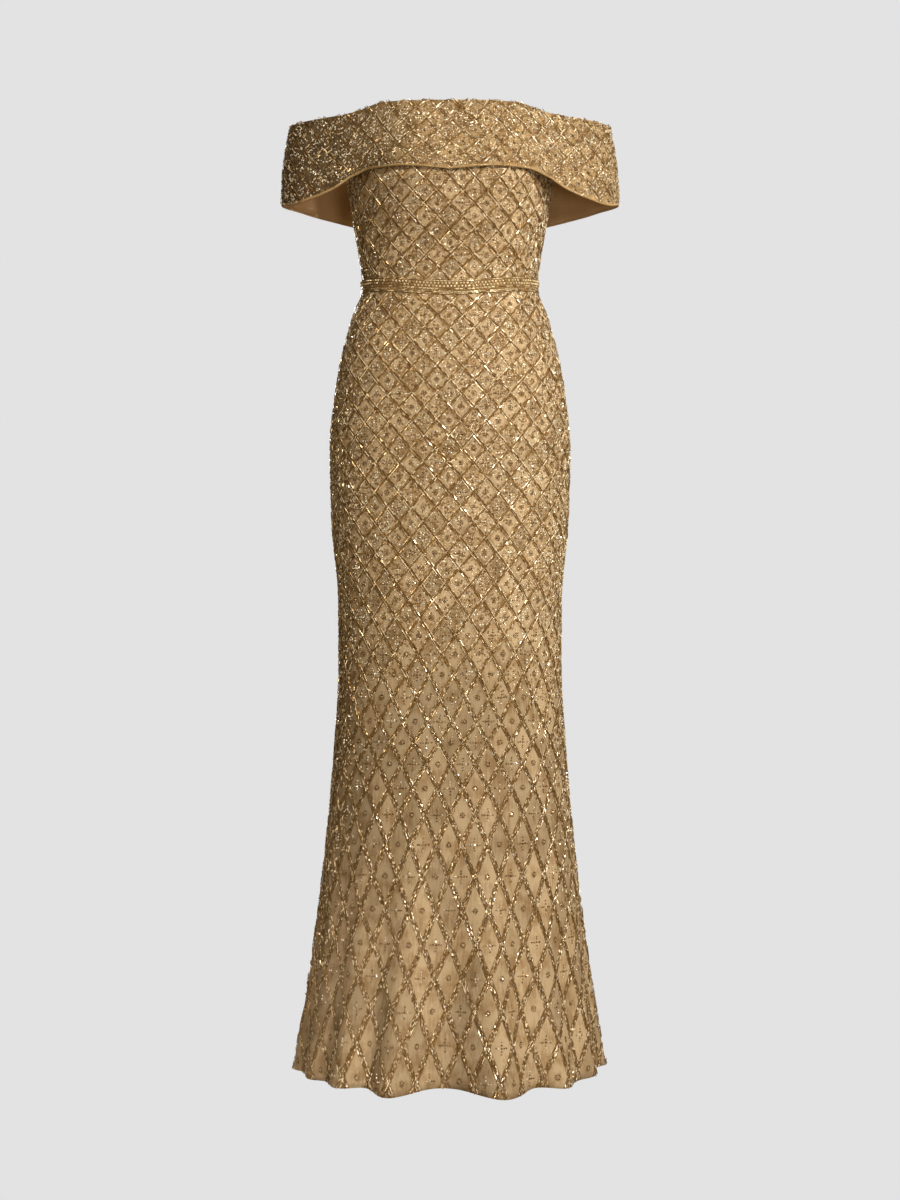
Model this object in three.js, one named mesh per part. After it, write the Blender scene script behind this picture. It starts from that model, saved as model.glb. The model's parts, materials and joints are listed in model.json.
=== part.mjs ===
// An off-the-shoulder evening gown: a fitted bodice, a beaded waist band, a long skirt that
// flares from the knee, and a turned-down collar that runs round both upper arms.
// The gown keeps the hollow form that it has when worn. Millimetres, +Z up, front facing -Y,
// origin at the centre of the waist.
import * as THREE from "three";

// Cloth and seams.
const CLOTH = 2; // beaded cloth with its lining
const COLLAR_CLOTH = 1.6;
const FACING_CLOTH = 1.2;
const ZIP_TAPE = 1.2;
const SEAM = 0.3; // the space left between two neighbouring pieces

// Heights, from the waist at the side seams.
const HEM_Z = -1101;
const UNDERARM_Z = 172;
const NECK_BACK_Z = 224;
const WAIST_DIP = 12; // how much lower the waist lies at the centre front
const ZIP_TOP_Z = 214;
const ZIP_END_Z = -180;
const ZIP_HALF_WIDTH = 11;
const ZIP_SPACE = 0.6; // from the cloth's inner face to the tape

// The body of the gown, from the top down: half its width, and how far its front and back
// stand out from the side seams. square is the power of the rounded section, 2 for an ellipse.
const FORM = [
  { z: 250, half: 138, front: 101, back: 88, square: 2.3 },
  { z: 200, half: 142, front: 115, back: 90, square: 2.25 },
  { z: 150, half: 143, front: 130, back: 87, square: 2.2 },
  { z: 95, half: 136, front: 118, back: 83, square: 2.15 },
  { z: 45, half: 127.5, front: 98, back: 79, square: 2.1 },
  { z: 0, half: 122, front: 89, back: 77, square: 2.1 },
  { z: -45, half: 137, front: 98, back: 91, square: 2.1 },
  { z: -105, half: 153, front: 105, back: 112, square: 2.1 },
  { z: -160, half: 162, front: 109, back: 124, square: 2.1 },
  { z: -225, half: 168, front: 111, back: 128, square: 2.1 },
  { z: -330, half: 165.5, front: 111, back: 119, square: 2.1 },
  { z: -440, half: 156, front: 109, back: 112, square: 2.1 },
  { z: -530, half: 155.5, front: 109, back: 112, square: 2.1 },
  { z: -665, half: 163, front: 114, back: 120, square: 2.1 },
  { z: -780, half: 171.5, front: 124, back: 132, square: 2.05 },
  { z: -890, half: 181, front: 136, back: 147, square: 2 },
  { z: -1005, half: 192, front: 151, back: 166, square: 2 },
  { z: -1110, half: 204.5, front: 167, back: 184, square: 2 },
];

// Two shallow cups in the bodice front.
const CUP = { turn: 26, spread: 17, z: 152, above: 62, below: 46, reach: 7 };

// Soft folds of the skirt: where each ridge stands round the hem, in degrees from the centre
// front, how far it stands out at the hem, how wide it is, and the height at which it starts.
const FOLDS = [
  { turn: -24, reach: 38, spread: 10.5, start: -600 },
  { turn: 20.5, reach: 42, spread: 12, start: -570 },
  { turn: 49, reach: 25, spread: 9, start: -640 },
  { turn: 72, reach: 13, spread: 7.5, start: -700 },
  { turn: 92, reach: 18, spread: 8, start: -560 },
  { turn: 118, reach: 34, spread: 9.5, start: -600 },
  { turn: 145, reach: 40, spread: 9, start: -540 },
  { turn: 170, reach: 30, spread: 8, start: -660 },
  { turn: 196, reach: 38, spread: 9.5, start: -580 },
  { turn: 225, reach: 42, spread: 9, start: -620 },
  { turn: 250, reach: 26, spread: 8, start: -560 },
  { turn: 270, reach: 18, spread: 8, start: -560 },
  { turn: 290, reach: 11, spread: 8, start: -600 },
  { turn: 312, reach: 23, spread: 9, start: -480 },
];
const FOLD_GROWTH = 1.3; // how late a fold gathers its depth on the way down
const FULL_FOLD = 40; // a fold of this depth lowers the hem by HEM_WAVE
const HEM_WAVE = 9;
// Where the hem hangs a little higher or, below 0, a little lower.
const HEM_SHIFTS = [
  { turn: 90, reach: 4, spread: 15 },
  { turn: 61, reach: -3.5, spread: 9 },
  { turn: 32, reach: -3, spread: 6 },
  { turn: 292, reach: -3.5, spread: 16 },
];

// The collar, half way round from the centre front to the centre back: its top and its edge.
const COLLAR = [
  { turn: 0, top: 243, hem: 143.5 },
  { turn: 33, top: 243.5, hem: 149 },
  { turn: 46, top: 243.5, hem: 149 },
  { turn: 57, top: 236, hem: 140.5 },
  { turn: 64, top: 230.5, hem: 126.5 },
  { turn: 71, top: 228, hem: 116 },
  { turn: 80, top: 226, hem: 109 },
  { turn: 90, top: 225, hem: 114 },
  { turn: 99, top: 225, hem: 112 },
  { turn: 106, top: 225.5, hem: 106 },
  { turn: 119, top: 226, hem: 95 },
  { turn: 128, top: 226.5, hem: 89 },
  { turn: 150, top: 227, hem: 84 },
  { turn: 180, top: 227, hem: 82 },
];
// The collar's section round the arms, at its top and at its edge.
const ARMS_TOP = { half: 226, front: 92, back: 86 };
const ARMS_HEM = { half: 238, front: 104, back: 94 };
const COLLAR_STAND = 4.5; // from the bodice's face to the collar's, where it lies on the chest
const COLLAR_FALL = 2.5; // how much further it stands away at its edge
const FACING_SPACE = 0.65; // from the collar's inner face to its facing
const COLLAR_CROWN = 3; // its bulge between top and edge, over the arms
const JOIN_POWER = 18; // how tightly the collar turns from the chest to the arms
const ROLL = 2.4; // radius of the fold along the collar's top
const ROLL_SHARE = 0.1; // share of the collar's grid that the fold takes

// The waist band: how far it lies off the cloth, and its outer face, as a distance down it and
// how far it stands out.
const BAND_STAND = 0.65;
const BAND_HEIGHT = 20;
const BAND_PROFILE = [
  { down: 0, out: 1.2 },
  { down: 2.2, out: 2.3 },
  { down: 4.4, out: 1.5 },
  { down: 9, out: 2.9 },
  { down: 14, out: 1.6 },
  { down: 17.6, out: 2.3 },
  { down: 20, out: 1.2 },
];

const COLOURS = { beads: 0xb08c52, plain: 0xb3926a, band: 0x9c7940, tape: 0xa98a60 };

const RAD = Math.PI / 180;

// Shares of a piece's height at which its rows of points lie. Two are close to the waist.
const BODICE_ROWS = [...evenly(7, 0, 0.955), 1];
const SKIRT_ROWS = [0, 0.005, ...evenly(19, 0.01, 1)];
const COLLAR_ROWS = [...evenly(4, 0, ROLL_SHARE), ...evenly(5, ROLL_SHARE, 1).slice(1)];
const FACING_ROWS = [0.004, ...evenly(5, 0, 1).slice(1, -1), 0.985]; // just short of the collar's

function evenly(count, from, to) {
  return Array.from({ length: count + 1 }, (_, i) => THREE.MathUtils.lerp(from, to, i / count));
}

// A smooth step from 0 at a to 1 at b.
function ease(a, b, x) {
  const t = THREE.MathUtils.clamp((x - a) / (b - a), 0, 1);
  return t * t * (3 - 2 * t);
}

// Reads one column of a table at a place between its rows, along a smooth curve that doesn't
// overshoot: cubic pieces whose slopes are 0 at a crest and else the harmonic mean.
function readTable(rows, place, column, x) {
  const last = rows.length - 1;
  const up = rows[last][place] > rows[0][place] ? 1 : -1;
  let i = 0;
  while (i < last - 1 && up * (x - rows[i + 1][place]) > 0) i += 1;
  const slope = (k) => (rows[k + 1][column] - rows[k][column]) / (rows[k + 1][place] - rows[k][place]);
  const tangent = (k) => {
    if (k === 0) return slope(0);
    if (k === last) return slope(last - 1);
    const before = slope(k - 1);
    const after = slope(k);
    return before * after <= 0 ? 0 : (2 * before * after) / (before + after);
  };
  const span = rows[i + 1][place] - rows[i][place];
  const t = THREE.MathUtils.clamp((x - rows[i][place]) / span, 0, 1);
  const t2 = t * t;
  const t3 = t2 * t;
  return (
    (2 * t3 - 3 * t2 + 1) * rows[i][column] +
    (t3 - 2 * t2 + t) * span * tangent(i) +
    (3 * t2 - 2 * t3) * rows[i + 1][column] +
    (t3 - t2) * span * tangent(i + 1)
  );
}

// Distance from the axis to a rounded section, at an angle from the centre front.
function sectionRadius(turn, half, front, back, power) {
  const across = Math.abs(Math.sin(turn * RAD));
  const along = Math.cos(turn * RAD);
  const depth = along > 0 ? front : back;
  return ((across / half) ** power + (Math.abs(along) / depth) ** power) ** (-1 / power);
}

// The angle from a to b the short way round, in degrees.
function between(a, b) {
  return ((((b - a) % 360) + 540) % 360) - 180;
}

// A rounded ridge or rise round the gown, as a share of its reach.
function ridge({ turn, spread }, at) {
  const away = between(turn, at) / spread;
  return Math.exp(-away * away);
}

function foldReach(turn, z) {
  return FOLDS.reduce((sum, fold) => {
    const grown = THREE.MathUtils.clamp((fold.start - z) / (fold.start - HEM_Z), 0, 1.02);
    return sum + fold.reach * (2 * ease(0, 2, grown)) ** FOLD_GROWTH * ridge(fold, turn);
  }, 0);
}

function cupReach(turn, z) {
  const height = (z - CUP.z) / (z > CUP.z ? CUP.above : CUP.below);
  const mounds = [1, -1].map((side) => ridge({ turn: side * CUP.turn, spread: CUP.spread }, turn));
  return CUP.reach * Math.exp(-height * height) * (mounds[0] + mounds[1]);
}

// Distance from the axis to the gown's outer face.
function gownRadius(turn, z) {
  const [half, front, back, square] = ["half", "front", "back", "square"].map((key) =>
    readTable(FORM, "z", key, z),
  );
  return sectionRadius(turn, half, front, back, square) + cupReach(turn, z) + foldReach(turn, z);
}

function polar(turn, radius, z) {
  return new THREE.Vector3(radius * Math.sin(turn * RAD), -radius * Math.cos(turn * RAD), z);
}

function gown(turn, z) {
  return polar(turn, gownRadius(turn, z), z);
}

function waistZ(turn) {
  const forward = Math.max(0, Math.cos(turn * RAD));
  return -WAIST_DIP * forward * forward;
}

function hemZ(turn) {
  const rise = HEM_SHIFTS.reduce((sum, shift) => sum + shift.reach * ridge(shift, turn), 0);
  return HEM_Z + rise + HEM_WAVE * (0.5 - foldReach(turn, HEM_Z) / FULL_FOLD);
}

function bodiceTopZ(turn) {
  const away = Math.abs(between(0, turn));
  const front = readTable(COLLAR, "turn", "top", away) - ROLL - SEAM;
  return (
    UNDERARM_Z +
    (front - UNDERARM_Z) * (1 - ease(47, 72, away)) +
    (NECK_BACK_Z - UNDERARM_Z) * ease(108, 134, away)
  );
}

// The collar's outer face below its fold, at an angle and a share of the way down.
function collarFace(turn, down) {
  const away = Math.abs(between(0, turn));
  const top = readTable(COLLAR, "turn", "top", away);
  const z = THREE.MathUtils.lerp(top - ROLL, readTable(COLLAR, "turn", "hem", away), down);
  const arms = {};
  for (const key of ["half", "front", "back"])
    arms[key] = THREE.MathUtils.lerp(ARMS_TOP[key], ARMS_HEM[key], down);
  const onChest = gownRadius(turn, z) + COLLAR_STAND + COLLAR_FALL * down * down;
  const round = sectionRadius(turn, arms.half, arms.front, arms.back, 2);
  const joined = (onChest ** JOIN_POWER + round ** JOIN_POWER) ** (1 / JOIN_POWER);
  const crown = COLLAR_CROWN * Math.sin(Math.PI * THREE.MathUtils.clamp(down, 0, 1)) * Math.sin(turn * RAD) ** 2;
  return polar(turn, joined + crown, z);
}

// The collar with the fold along its top, which turns over towards the neck.
function collar(turn, share) {
  if (share >= ROLL_SHARE) return collarFace(turn, (share - ROLL_SHARE) / (1 - ROLL_SHARE));
  const bend = Math.PI * (1 - share / ROLL_SHARE);
  const foot = collarFace(turn, 0);
  const inward = polar(turn, -1, 0);
  return foot
    .addScaledVector(inward, ROLL * (1 - Math.cos(bend)))
    .add(new THREE.Vector3(0, 0, ROLL * Math.sin(bend)));
}

// The outward normal of a surface that takes an angle and a place down it.
function outward(surface, turn, down, step) {
  const across = surface(turn + 0.05, down).sub(surface(turn - 0.05, down));
  const fall = surface(turn, down + step).sub(surface(turn, down - step));
  return fall.cross(across).normalize();
}

// The same surface, moved out along its normals, or in where the distance is negative.
function moved(surface, distance, step) {
  return (turn, down) => {
    const out = typeof distance === "function" ? distance(turn, down) : distance;
    return surface(turn, down).addScaledVector(outward(surface, turn, down, step), out);
  };
}

// A closed wall between an outer and an inner surface. edge(u, v) gives the angle and the place
// down at a share u of the way across the piece and v of the way down it.
function wall(outer, inner, edge, columns, shares) {
  const rows = shares.length - 1;
  const points = [];
  for (const surface of [outer, inner])
    for (const v of shares)
      for (let i = 0; i <= columns; i += 1) points.push(...surface(...edge(i / columns, v)).toArray());
  const sheet = (rows + 1) * (columns + 1);
  const at = (side, i, j) => side * sheet + j * (columns + 1) + i;
  const faces = [];
  const quad = (a, b, c, d) => faces.push(a, b, c, a, c, d);
  for (let j = 0; j < rows; j += 1)
    for (let i = 0; i < columns; i += 1) {
      quad(at(0, i, j), at(0, i, j + 1), at(0, i + 1, j + 1), at(0, i + 1, j));
      quad(at(1, i + 1, j), at(1, i + 1, j + 1), at(1, i, j + 1), at(1, i, j));
    }
  for (let i = 0; i < columns; i += 1) {
    quad(at(1, i, 0), at(0, i, 0), at(0, i + 1, 0), at(1, i + 1, 0));
    quad(at(0, i, rows), at(1, i, rows), at(1, i + 1, rows), at(0, i + 1, rows));
  }
  for (let j = 0; j < rows; j += 1) {
    quad(at(1, 0, j), at(1, 0, j + 1), at(0, 0, j + 1), at(0, 0, j));
    quad(at(0, columns, j), at(0, columns, j + 1), at(1, columns, j + 1), at(1, columns, j));
  }
  const geometry = new THREE.BufferGeometry();
  geometry.setAttribute("position", new THREE.Float32BufferAttribute(points, 3));
  geometry.setIndex(faces);
  geometry.computeVertexNormals();
  return geometry;
}

// Where a piece between two seams lies. top and bottom give its edges at an angle.
function panel(from, to, top, bottom, radius) {
  return (u, v) => {
    const rough = THREE.MathUtils.lerp(from, to, u);
    const down = THREE.MathUtils.lerp(top(rough), bottom(rough), v);
    const seam = SEAM / 2 / radius(rough, down) / RAD;
    return [THREE.MathUtils.lerp(from + seam, to - seam, u), down];
  };
}

function piece(name, geometry, colour) {
  const material = new THREE.MeshStandardMaterial({ color: colour, roughness: 0.5, metalness: 0.2 });
  const mesh = new THREE.Mesh(geometry, material);
  mesh.name = name;
  return mesh;
}

// The bodice and the skirt share one surface, parted at the waist.
function bodyPiece(name, from, to, isSkirt, columns) {
  const top = isSkirt ? (turn) => waistZ(turn) - SEAM / 2 : bodiceTopZ;
  const bottom = isSkirt ? hemZ : (turn) => waistZ(turn) + SEAM / 2;
  const edge = panel(from, to, top, bottom, gownRadius);
  const rows = isSkirt ? SKIRT_ROWS : BODICE_ROWS;
  return piece(name, wall(gown, moved(gown, -CLOTH, -1), edge, columns, rows), COLOURS.beads);
}

function collarRadius(turn) {
  const top = collarFace(turn, 0);
  return Math.hypot(top.x, top.y);
}

function collarPiece(name, from, to, columns) {
  const edge = panel(from, to, () => 0, () => 1, collarRadius);
  const inside = moved(collar, -COLLAR_CLOTH, ROLL_SHARE / 40);
  return piece(name, wall(collar, inside, edge, columns, COLLAR_ROWS), COLOURS.beads);
}

// The plain cloth behind the collar, which shows in the armholes.
function facingPiece(name, from, to, columns) {
  const edge = panel(from, to, () => 0, () => 1, collarRadius);
  const outer = moved(collarFace, -COLLAR_CLOTH - FACING_SPACE, 0.01);
  const inner = moved(collarFace, -COLLAR_CLOTH - FACING_SPACE - FACING_CLOTH, 0.01);
  return piece(name, wall(outer, inner, edge, columns, FACING_ROWS), COLOURS.plain);
}

function waistBand(columns) {
  const top = (turn) => waistZ(turn) + BAND_HEIGHT / 2;
  const edge = panel(-180, 180, top, (turn) => top(turn) - BAND_HEIGHT, gownRadius);
  const stand = (turn, z) => BAND_STAND + readTable(BAND_PROFILE, "down", "out", top(turn) - z);
  const rows = BAND_PROFILE.map((row) => row.down / BAND_HEIGHT);
  const inner = moved(gown, BAND_STAND, -1);
  return piece("waist_band", wall(moved(gown, stand, -1), inner, edge, columns, rows), COLOURS.band);
}

// The closed zip inside the centre back seam, as one strip of tape and coil.
function backZip() {
  const half = ZIP_HALF_WIDTH / gownRadius(180, 0) / RAD;
  const edge = panel(180 - half, 180 + half, () => ZIP_TOP_Z, () => ZIP_END_Z, gownRadius);
  const heights = [
    ...BODICE_ROWS.map((share) => bodiceTopZ(180) * (1 - share)),
    ...SKIRT_ROWS.slice(1).map((share) => HEM_Z * share),
  ].filter((z) => z < ZIP_TOP_Z && z > ZIP_END_Z);
  const rows = [ZIP_TOP_Z, ...heights, ZIP_END_Z].map((z) => (ZIP_TOP_Z - z) / (ZIP_TOP_Z - ZIP_END_Z));
  const outer = moved(gown, -CLOTH - ZIP_SPACE, -1);
  const inner = moved(gown, -CLOTH - ZIP_SPACE - ZIP_TAPE, -1);
  return piece("back_zip", wall(outer, inner, edge, 2, rows), COLOURS.tape);
}

const group = new THREE.Group();
group.name = "evening_gown";
group.add(
  bodyPiece("bodice_front", -90, 90, false, 30),
  bodyPiece("bodice_back_right", 90, 180, false, 15),
  bodyPiece("bodice_back_left", -180, -90, false, 15),
  waistBand(80),
  bodyPiece("skirt_front", -90, 90, true, 45),
  bodyPiece("skirt_back_right", 90, 180, true, 20),
  bodyPiece("skirt_back_left", -180, -90, true, 20),
  collarPiece("collar_front", -90, 90, 34),
  collarPiece("collar_back_right", 90, 180, 16),
  collarPiece("collar_back_left", -180, -90, 16),
  facingPiece("collar_facing_front", -90, 90, 34),
  facingPiece("collar_facing_back_right", 90, 180, 16),
  facingPiece("collar_facing_back_left", -180, -90, 16),
  backZip(),
);

export default group;
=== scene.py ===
"""An off-the-shoulder evening gown, beaded all over with a diamond trellis.

The cloth is a thin wall on the same surface that the solids follow. Every strand of the trellis,
every motif and the waist trim are rows of small glass beads laid on that surface. Lengths in the
sizes below are millimetres, and meshes are made in metres.
"""

import json
import logging
import math
from dataclasses import dataclass, field
from enum import Enum
from typing import Callable

import bpy
import numpy as np
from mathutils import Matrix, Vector

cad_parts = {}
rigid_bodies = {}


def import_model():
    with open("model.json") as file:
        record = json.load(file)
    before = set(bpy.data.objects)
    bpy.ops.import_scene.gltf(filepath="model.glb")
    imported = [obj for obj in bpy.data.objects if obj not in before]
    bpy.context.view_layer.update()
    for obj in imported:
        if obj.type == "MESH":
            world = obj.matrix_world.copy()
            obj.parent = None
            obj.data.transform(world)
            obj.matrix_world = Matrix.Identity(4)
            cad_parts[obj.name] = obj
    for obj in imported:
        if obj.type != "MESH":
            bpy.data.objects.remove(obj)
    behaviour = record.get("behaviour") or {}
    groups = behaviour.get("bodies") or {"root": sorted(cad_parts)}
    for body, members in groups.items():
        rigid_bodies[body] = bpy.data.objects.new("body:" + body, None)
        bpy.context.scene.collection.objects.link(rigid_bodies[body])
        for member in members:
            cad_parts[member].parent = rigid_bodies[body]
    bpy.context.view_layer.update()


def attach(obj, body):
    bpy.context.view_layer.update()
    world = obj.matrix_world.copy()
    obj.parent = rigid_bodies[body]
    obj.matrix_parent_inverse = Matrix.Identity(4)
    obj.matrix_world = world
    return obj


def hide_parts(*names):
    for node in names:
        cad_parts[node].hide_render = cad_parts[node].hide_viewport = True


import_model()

Array = np.ndarray
Vec3 = tuple[float, float, float]
Colour = tuple[float, float, float]
Surface = Callable[[Array, Array], Array]
Height = Callable[[Array], Array]
Material = bpy.types.Material
Socket = bpy.types.NodeSocket
Random = np.random.Generator

log = logging.getLogger("gown")
MM = 0.001
BODY = "root"
NORMAL_STEP = -0.5  # down the body, for its normals
COLLAR_STEP = 0.002  # down the collar, as a share, for its normals
FOLD_SHARE = 0.1  # how much of the collar's share is its rolled fold
EDGE_GAP = 1.0  # from a piece's edges to its beads
WAIST_GAP = 0.08  # from the waist seam to the cloth on either side
BAND_REACH = 9.5  # from the waist seam to the beads of the bodice and the skirt
SKIRT_SPLIT = -560  # height where one mesh of the skirt's beads ends and the next begins
MEAN_RADIUS = 150  # the gown's distance from its axis, for small gaps at the seams
COLLAR_SEAM = 0.02  # degrees from a seam of the collar to its cloth
OFF_COLLAR = 200  # an angle that stands for a place beyond the collar's ends
TURN_REACH = 93  # degrees each way for which a trellis is measured, in half degrees
ARC_REACH = 480  # the same along the cloth, in whole millimetres
LINES_ASIDE = 14  # lines of a trellis on each side of its middle
SIDES = 4  # faces round a tube bead, and corners round a round one

# Height, half width, front depth, back depth and roundness, from the top down
SECTIONS = np.array(
    [
        [250, 138, 101, 88, 2.3],
        [200, 142, 115, 90, 2.25],
        [150, 143, 130, 87, 2.2],
        [95, 136, 118, 83, 2.15],
        [45, 127.5, 98, 79, 2.1],
        [0, 122, 89, 77, 2.1],
        [-45, 137, 98, 91, 2.1],
        [-105, 153, 105, 112, 2.1],
        [-160, 162, 109, 124, 2.1],
        [-225, 168, 111, 128, 2.1],
        [-330, 165.5, 111, 119, 2.1],
        [-440, 156, 109, 112, 2.1],
        [-530, 155.5, 109, 112, 2.1],
        [-665, 163, 114, 120, 2.1],
        [-780, 171.5, 124, 132, 2.05],
        [-890, 181, 136, 147, 2],
        [-1005, 192, 151, 166, 2],
        [-1110, 204.5, 167, 184, 2],
    ]
)
# Angle, reach at the hem, spread and starting height of each soft fold of the skirt
FOLDS = np.array(
    [
        [-24, 38, 10.5, -600],
        [20.5, 42, 12, -570],
        [49, 25, 9, -640],
        [72, 13, 7.5, -700],
        [92, 18, 8, -560],
        [118, 34, 9.5, -600],
        [145, 40, 9, -540],
        [170, 30, 8, -660],
        [196, 38, 9.5, -580],
        [225, 42, 9, -620],
        [250, 26, 8, -560],
        [270, 18, 8, -560],
        [290, 11, 8, -600],
        [312, 23, 9, -480],
    ]
)
# Angle from the centre front, height of the collar's top and height of its edge
COLLAR_EDGES = np.array(
    [
        [0, 243, 143.5],
        [33, 243.5, 149],
        [46, 243.5, 149],
        [57, 236, 140.5],
        [64, 230.5, 126.5],
        [71, 228, 116],
        [80, 226, 109],
        [90, 225, 114],
        [99, 225, 112],
        [106, 225.5, 106],
        [119, 226, 95],
        [128, 226.5, 89],
        [150, 227, 84],
        [180, 227, 82],
    ]
)
# Height, cells counted down to it, the cell's width there and the lines' sideways lean
BODICE_ROWS = np.array(
    [
        [262, -3.8, 34, 0],
        [117.2, 0.5, 34, 0],
        [16.2, 3.5, 33.5, 0],
        [-30, 4.9, 33, 0],
    ]
)
SKIRT_ROWS = np.array(
    [
        [20, -3.5, 34, 0],
        [-23, -2.27, 34, 0],
        [-121, 0.5, 34.2, -1],
        [-196, 2.5, 34.2, -1.5],
        [-273, 4.5, 34.2, -2],
        [-356, 6.5, 34.2, -3],
        [-441, 8.5, 34, -7],
        [-543, 10.5, 33.5, -11],
        [-607, 11.5, 33.6, -14],
        [-665, 12.5, 34, -16],
        [-734, 13.5, 34.6, -17.5],
        [-817, 14.5, 35.6, -20],
        [-908, 15.5, 37, -19],
        [-996, 16.5, 39, -24],
        [-1087, 17.5, 41, -28],
        [-1125, 17.9, 41.5, -29],
    ]
)


def read_table(table: Array, column: int, x: Array) -> Array:
    """Read a table between its rows, on cubic pieces that don't overshoot.

    The slope at a row is the harmonic mean of the slopes on both sides, or 0 at a crest.

    Args:
        table: its first column says where the rows stand, rising or falling.
        column: which column to read.
        x: where to read it.

    Returns:
        The column's value at each x.
    """
    place, values, x = (np.asarray(a, dtype=float) for a in (table[:, 0], table[:, column], x))
    if place[-1] < place[0]:
        place, values = place[::-1], values[::-1]
    slopes = np.diff(values) / np.diff(place)
    before, after = slopes[:-1], slopes[1:]
    total = np.where(before * after > 0, before + after, 1.0)
    inner = np.where(before * after > 0, 2 * before * after / total, 0.0)
    tangents = np.concatenate([slopes[:1], inner, slopes[-1:]])
    i = np.clip(np.searchsorted(place, x) - 1, 0, len(place) - 2)
    span = place[i + 1] - place[i]
    t = np.clip((x - place[i]) / span, 0, 1)
    return (
        (2 * t**3 - 3 * t**2 + 1) * values[i]
        + (t**3 - 2 * t**2 + t) * span * tangents[i]
        + (3 * t**2 - 2 * t**3) * values[i + 1]
        + (t**3 - t**2) * span * tangents[i + 1]
    )


def ease(a: float, b: float, x: Array) -> Array:
    """Smooth step from 0 at a to 1 at b."""
    t = np.clip((np.asarray(x, dtype=float) - a) / (b - a), 0, 1)
    return t * t * (3 - 2 * t)


def angle_between(a: Array, b: Array) -> Array:
    """Angle from a to b the short way round, in degrees."""
    return (np.asarray(b) - a + 180) % 360 - 180


def polar(turn: Array, radius: Array, z: Array) -> Array:
    """Points at an angle from the centre front, a distance from the axis and a height."""
    t = np.radians(turn)
    return np.stack(np.broadcast_arrays(radius * np.sin(t), -radius * np.cos(t), z), axis=-1)


def unit(v: Array) -> Array:
    """The vectors at length 1."""
    return v / np.maximum(np.linalg.norm(v, axis=-1, keepdims=True), 1e-12)


def read_grid(table: Array, a: Array, b: Array) -> Array:
    """Read a grid of values between its points, at a fractional row a and column b."""
    i, j = a.astype(int), b.astype(int)
    fa, fb = a - i, b - j
    return (1 - fa) * ((1 - fb) * table[i, j] + fb * table[i, j + 1]) + fa * (
        (1 - fb) * table[i + 1, j] + fb * table[i + 1, j + 1]
    )


def section_radius(turn: Array, half: Array, front: Array, back: Array, power: Array) -> Array:
    """Distance from the axis to a rounded section, |x/half|^power + |y/depth|^power = 1."""
    t = np.radians(turn)
    depth = np.where(np.cos(t) > 0, front, back)
    return ((np.abs(np.sin(t)) / half) ** power + (np.abs(np.cos(t)) / depth) ** power) ** (
        -1 / power
    )


@dataclass
class GownForm:
    """The surface that the bodice and the skirt share.

    Attributes:
        hem_z: mean height of the hem.
        hem_wave: how much higher the hem is between the folds than at them.
        full_fold: reach of a fold that lowers the hem all the way.
        hem_shifts: angle, rise and spread of the places where the hem hangs higher or lower.
        waist_dip: how much lower the waist lies at the centre front.
        underarm_z: height of the bodice's top edge under the arms.
        neck_back_z: height of its top edge at the centre back.
    """

    hem_z: float = -1101
    hem_wave: float = 9
    full_fold: float = 40
    hem_shifts: tuple[tuple[float, float, float], ...] = (
        (90, 4, 15),
        (61, -3.5, 9),
        (32, -3, 6),
        (292, -3.5, 16),
    )
    waist_dip: float = 12
    underarm_z: float = 172
    neck_back_z: float = 224

    def fold_reach(self, turn: Array, z: Array) -> Array:
        """How far the skirt's folds stand out: a rounded ridge each, deeper towards the hem."""
        reach = np.zeros(np.broadcast(turn, z).shape)
        for at, out, spread, start in FOLDS:
            grown = np.clip((start - z) / (start - self.hem_z), 0, 1.02)
            away = angle_between(at, turn) / spread
            reach += out * (2 * ease(0, 2, grown)) ** 1.3 * np.exp(-away * away)
        return reach

    def cup_reach(self, turn: Array, z: Array) -> Array:
        """How far the two shallow cups stand out of the bodice's front."""
        height = (z - 152) / np.where(z > 152, 62, 46)
        mounds = sum(np.exp(-((angle_between(side * 26, turn) / 17) ** 2)) for side in (1, -1))
        return 7 * np.exp(-height * height) * mounds

    def radius(self, turn: Array, z: Array) -> Array:
        """Distance from the axis to the gown's outer face."""
        half, front, back, power = (read_table(SECTIONS, k, z) for k in (1, 2, 3, 4))
        plain = section_radius(turn, half, front, back, power)
        return plain + self.cup_reach(turn, z) + self.fold_reach(turn, z)

    def point(self, turn: Array, z: Array) -> Array:
        """A point of the gown's outer face."""
        return polar(turn, self.radius(turn, z), z)

    def normal(self, turn: Array, z: Array) -> Array:
        """Outward normal of the gown's outer face."""
        return normal_of(self.point, turn, z, NORMAL_STEP)

    def waist_z(self, turn: Array) -> Array:
        """Height of the waist seam, lower at the front."""
        forward = np.maximum(0, np.cos(np.radians(turn)))
        return -self.waist_dip * forward**2

    def hem_edge(self, turn: Array) -> Array:
        """Height of the hem, lower where a fold stands out."""
        lift = sum(
            rise * np.exp(-((angle_between(at, turn) / spread) ** 2))
            for at, rise, spread in self.hem_shifts
        )
        reach = self.fold_reach(turn, np.full(np.shape(turn), self.hem_z))
        return self.hem_z + lift + self.hem_wave * (0.5 - reach / self.full_fold)

    def bodice_top(self, turn: Array, collar: "CollarForm") -> Array:
        """Height of the bodice's top edge, under the collar's fold and down to the underarm."""
        away = np.abs(angle_between(0, turn))
        front = collar.top_z(turn) - collar.roll - 0.3
        return (
            self.underarm_z
            + (front - self.underarm_z) * (1 - ease(47, 72, away))
            + (self.neck_back_z - self.underarm_z) * ease(108, 134, away)
        )


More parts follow.
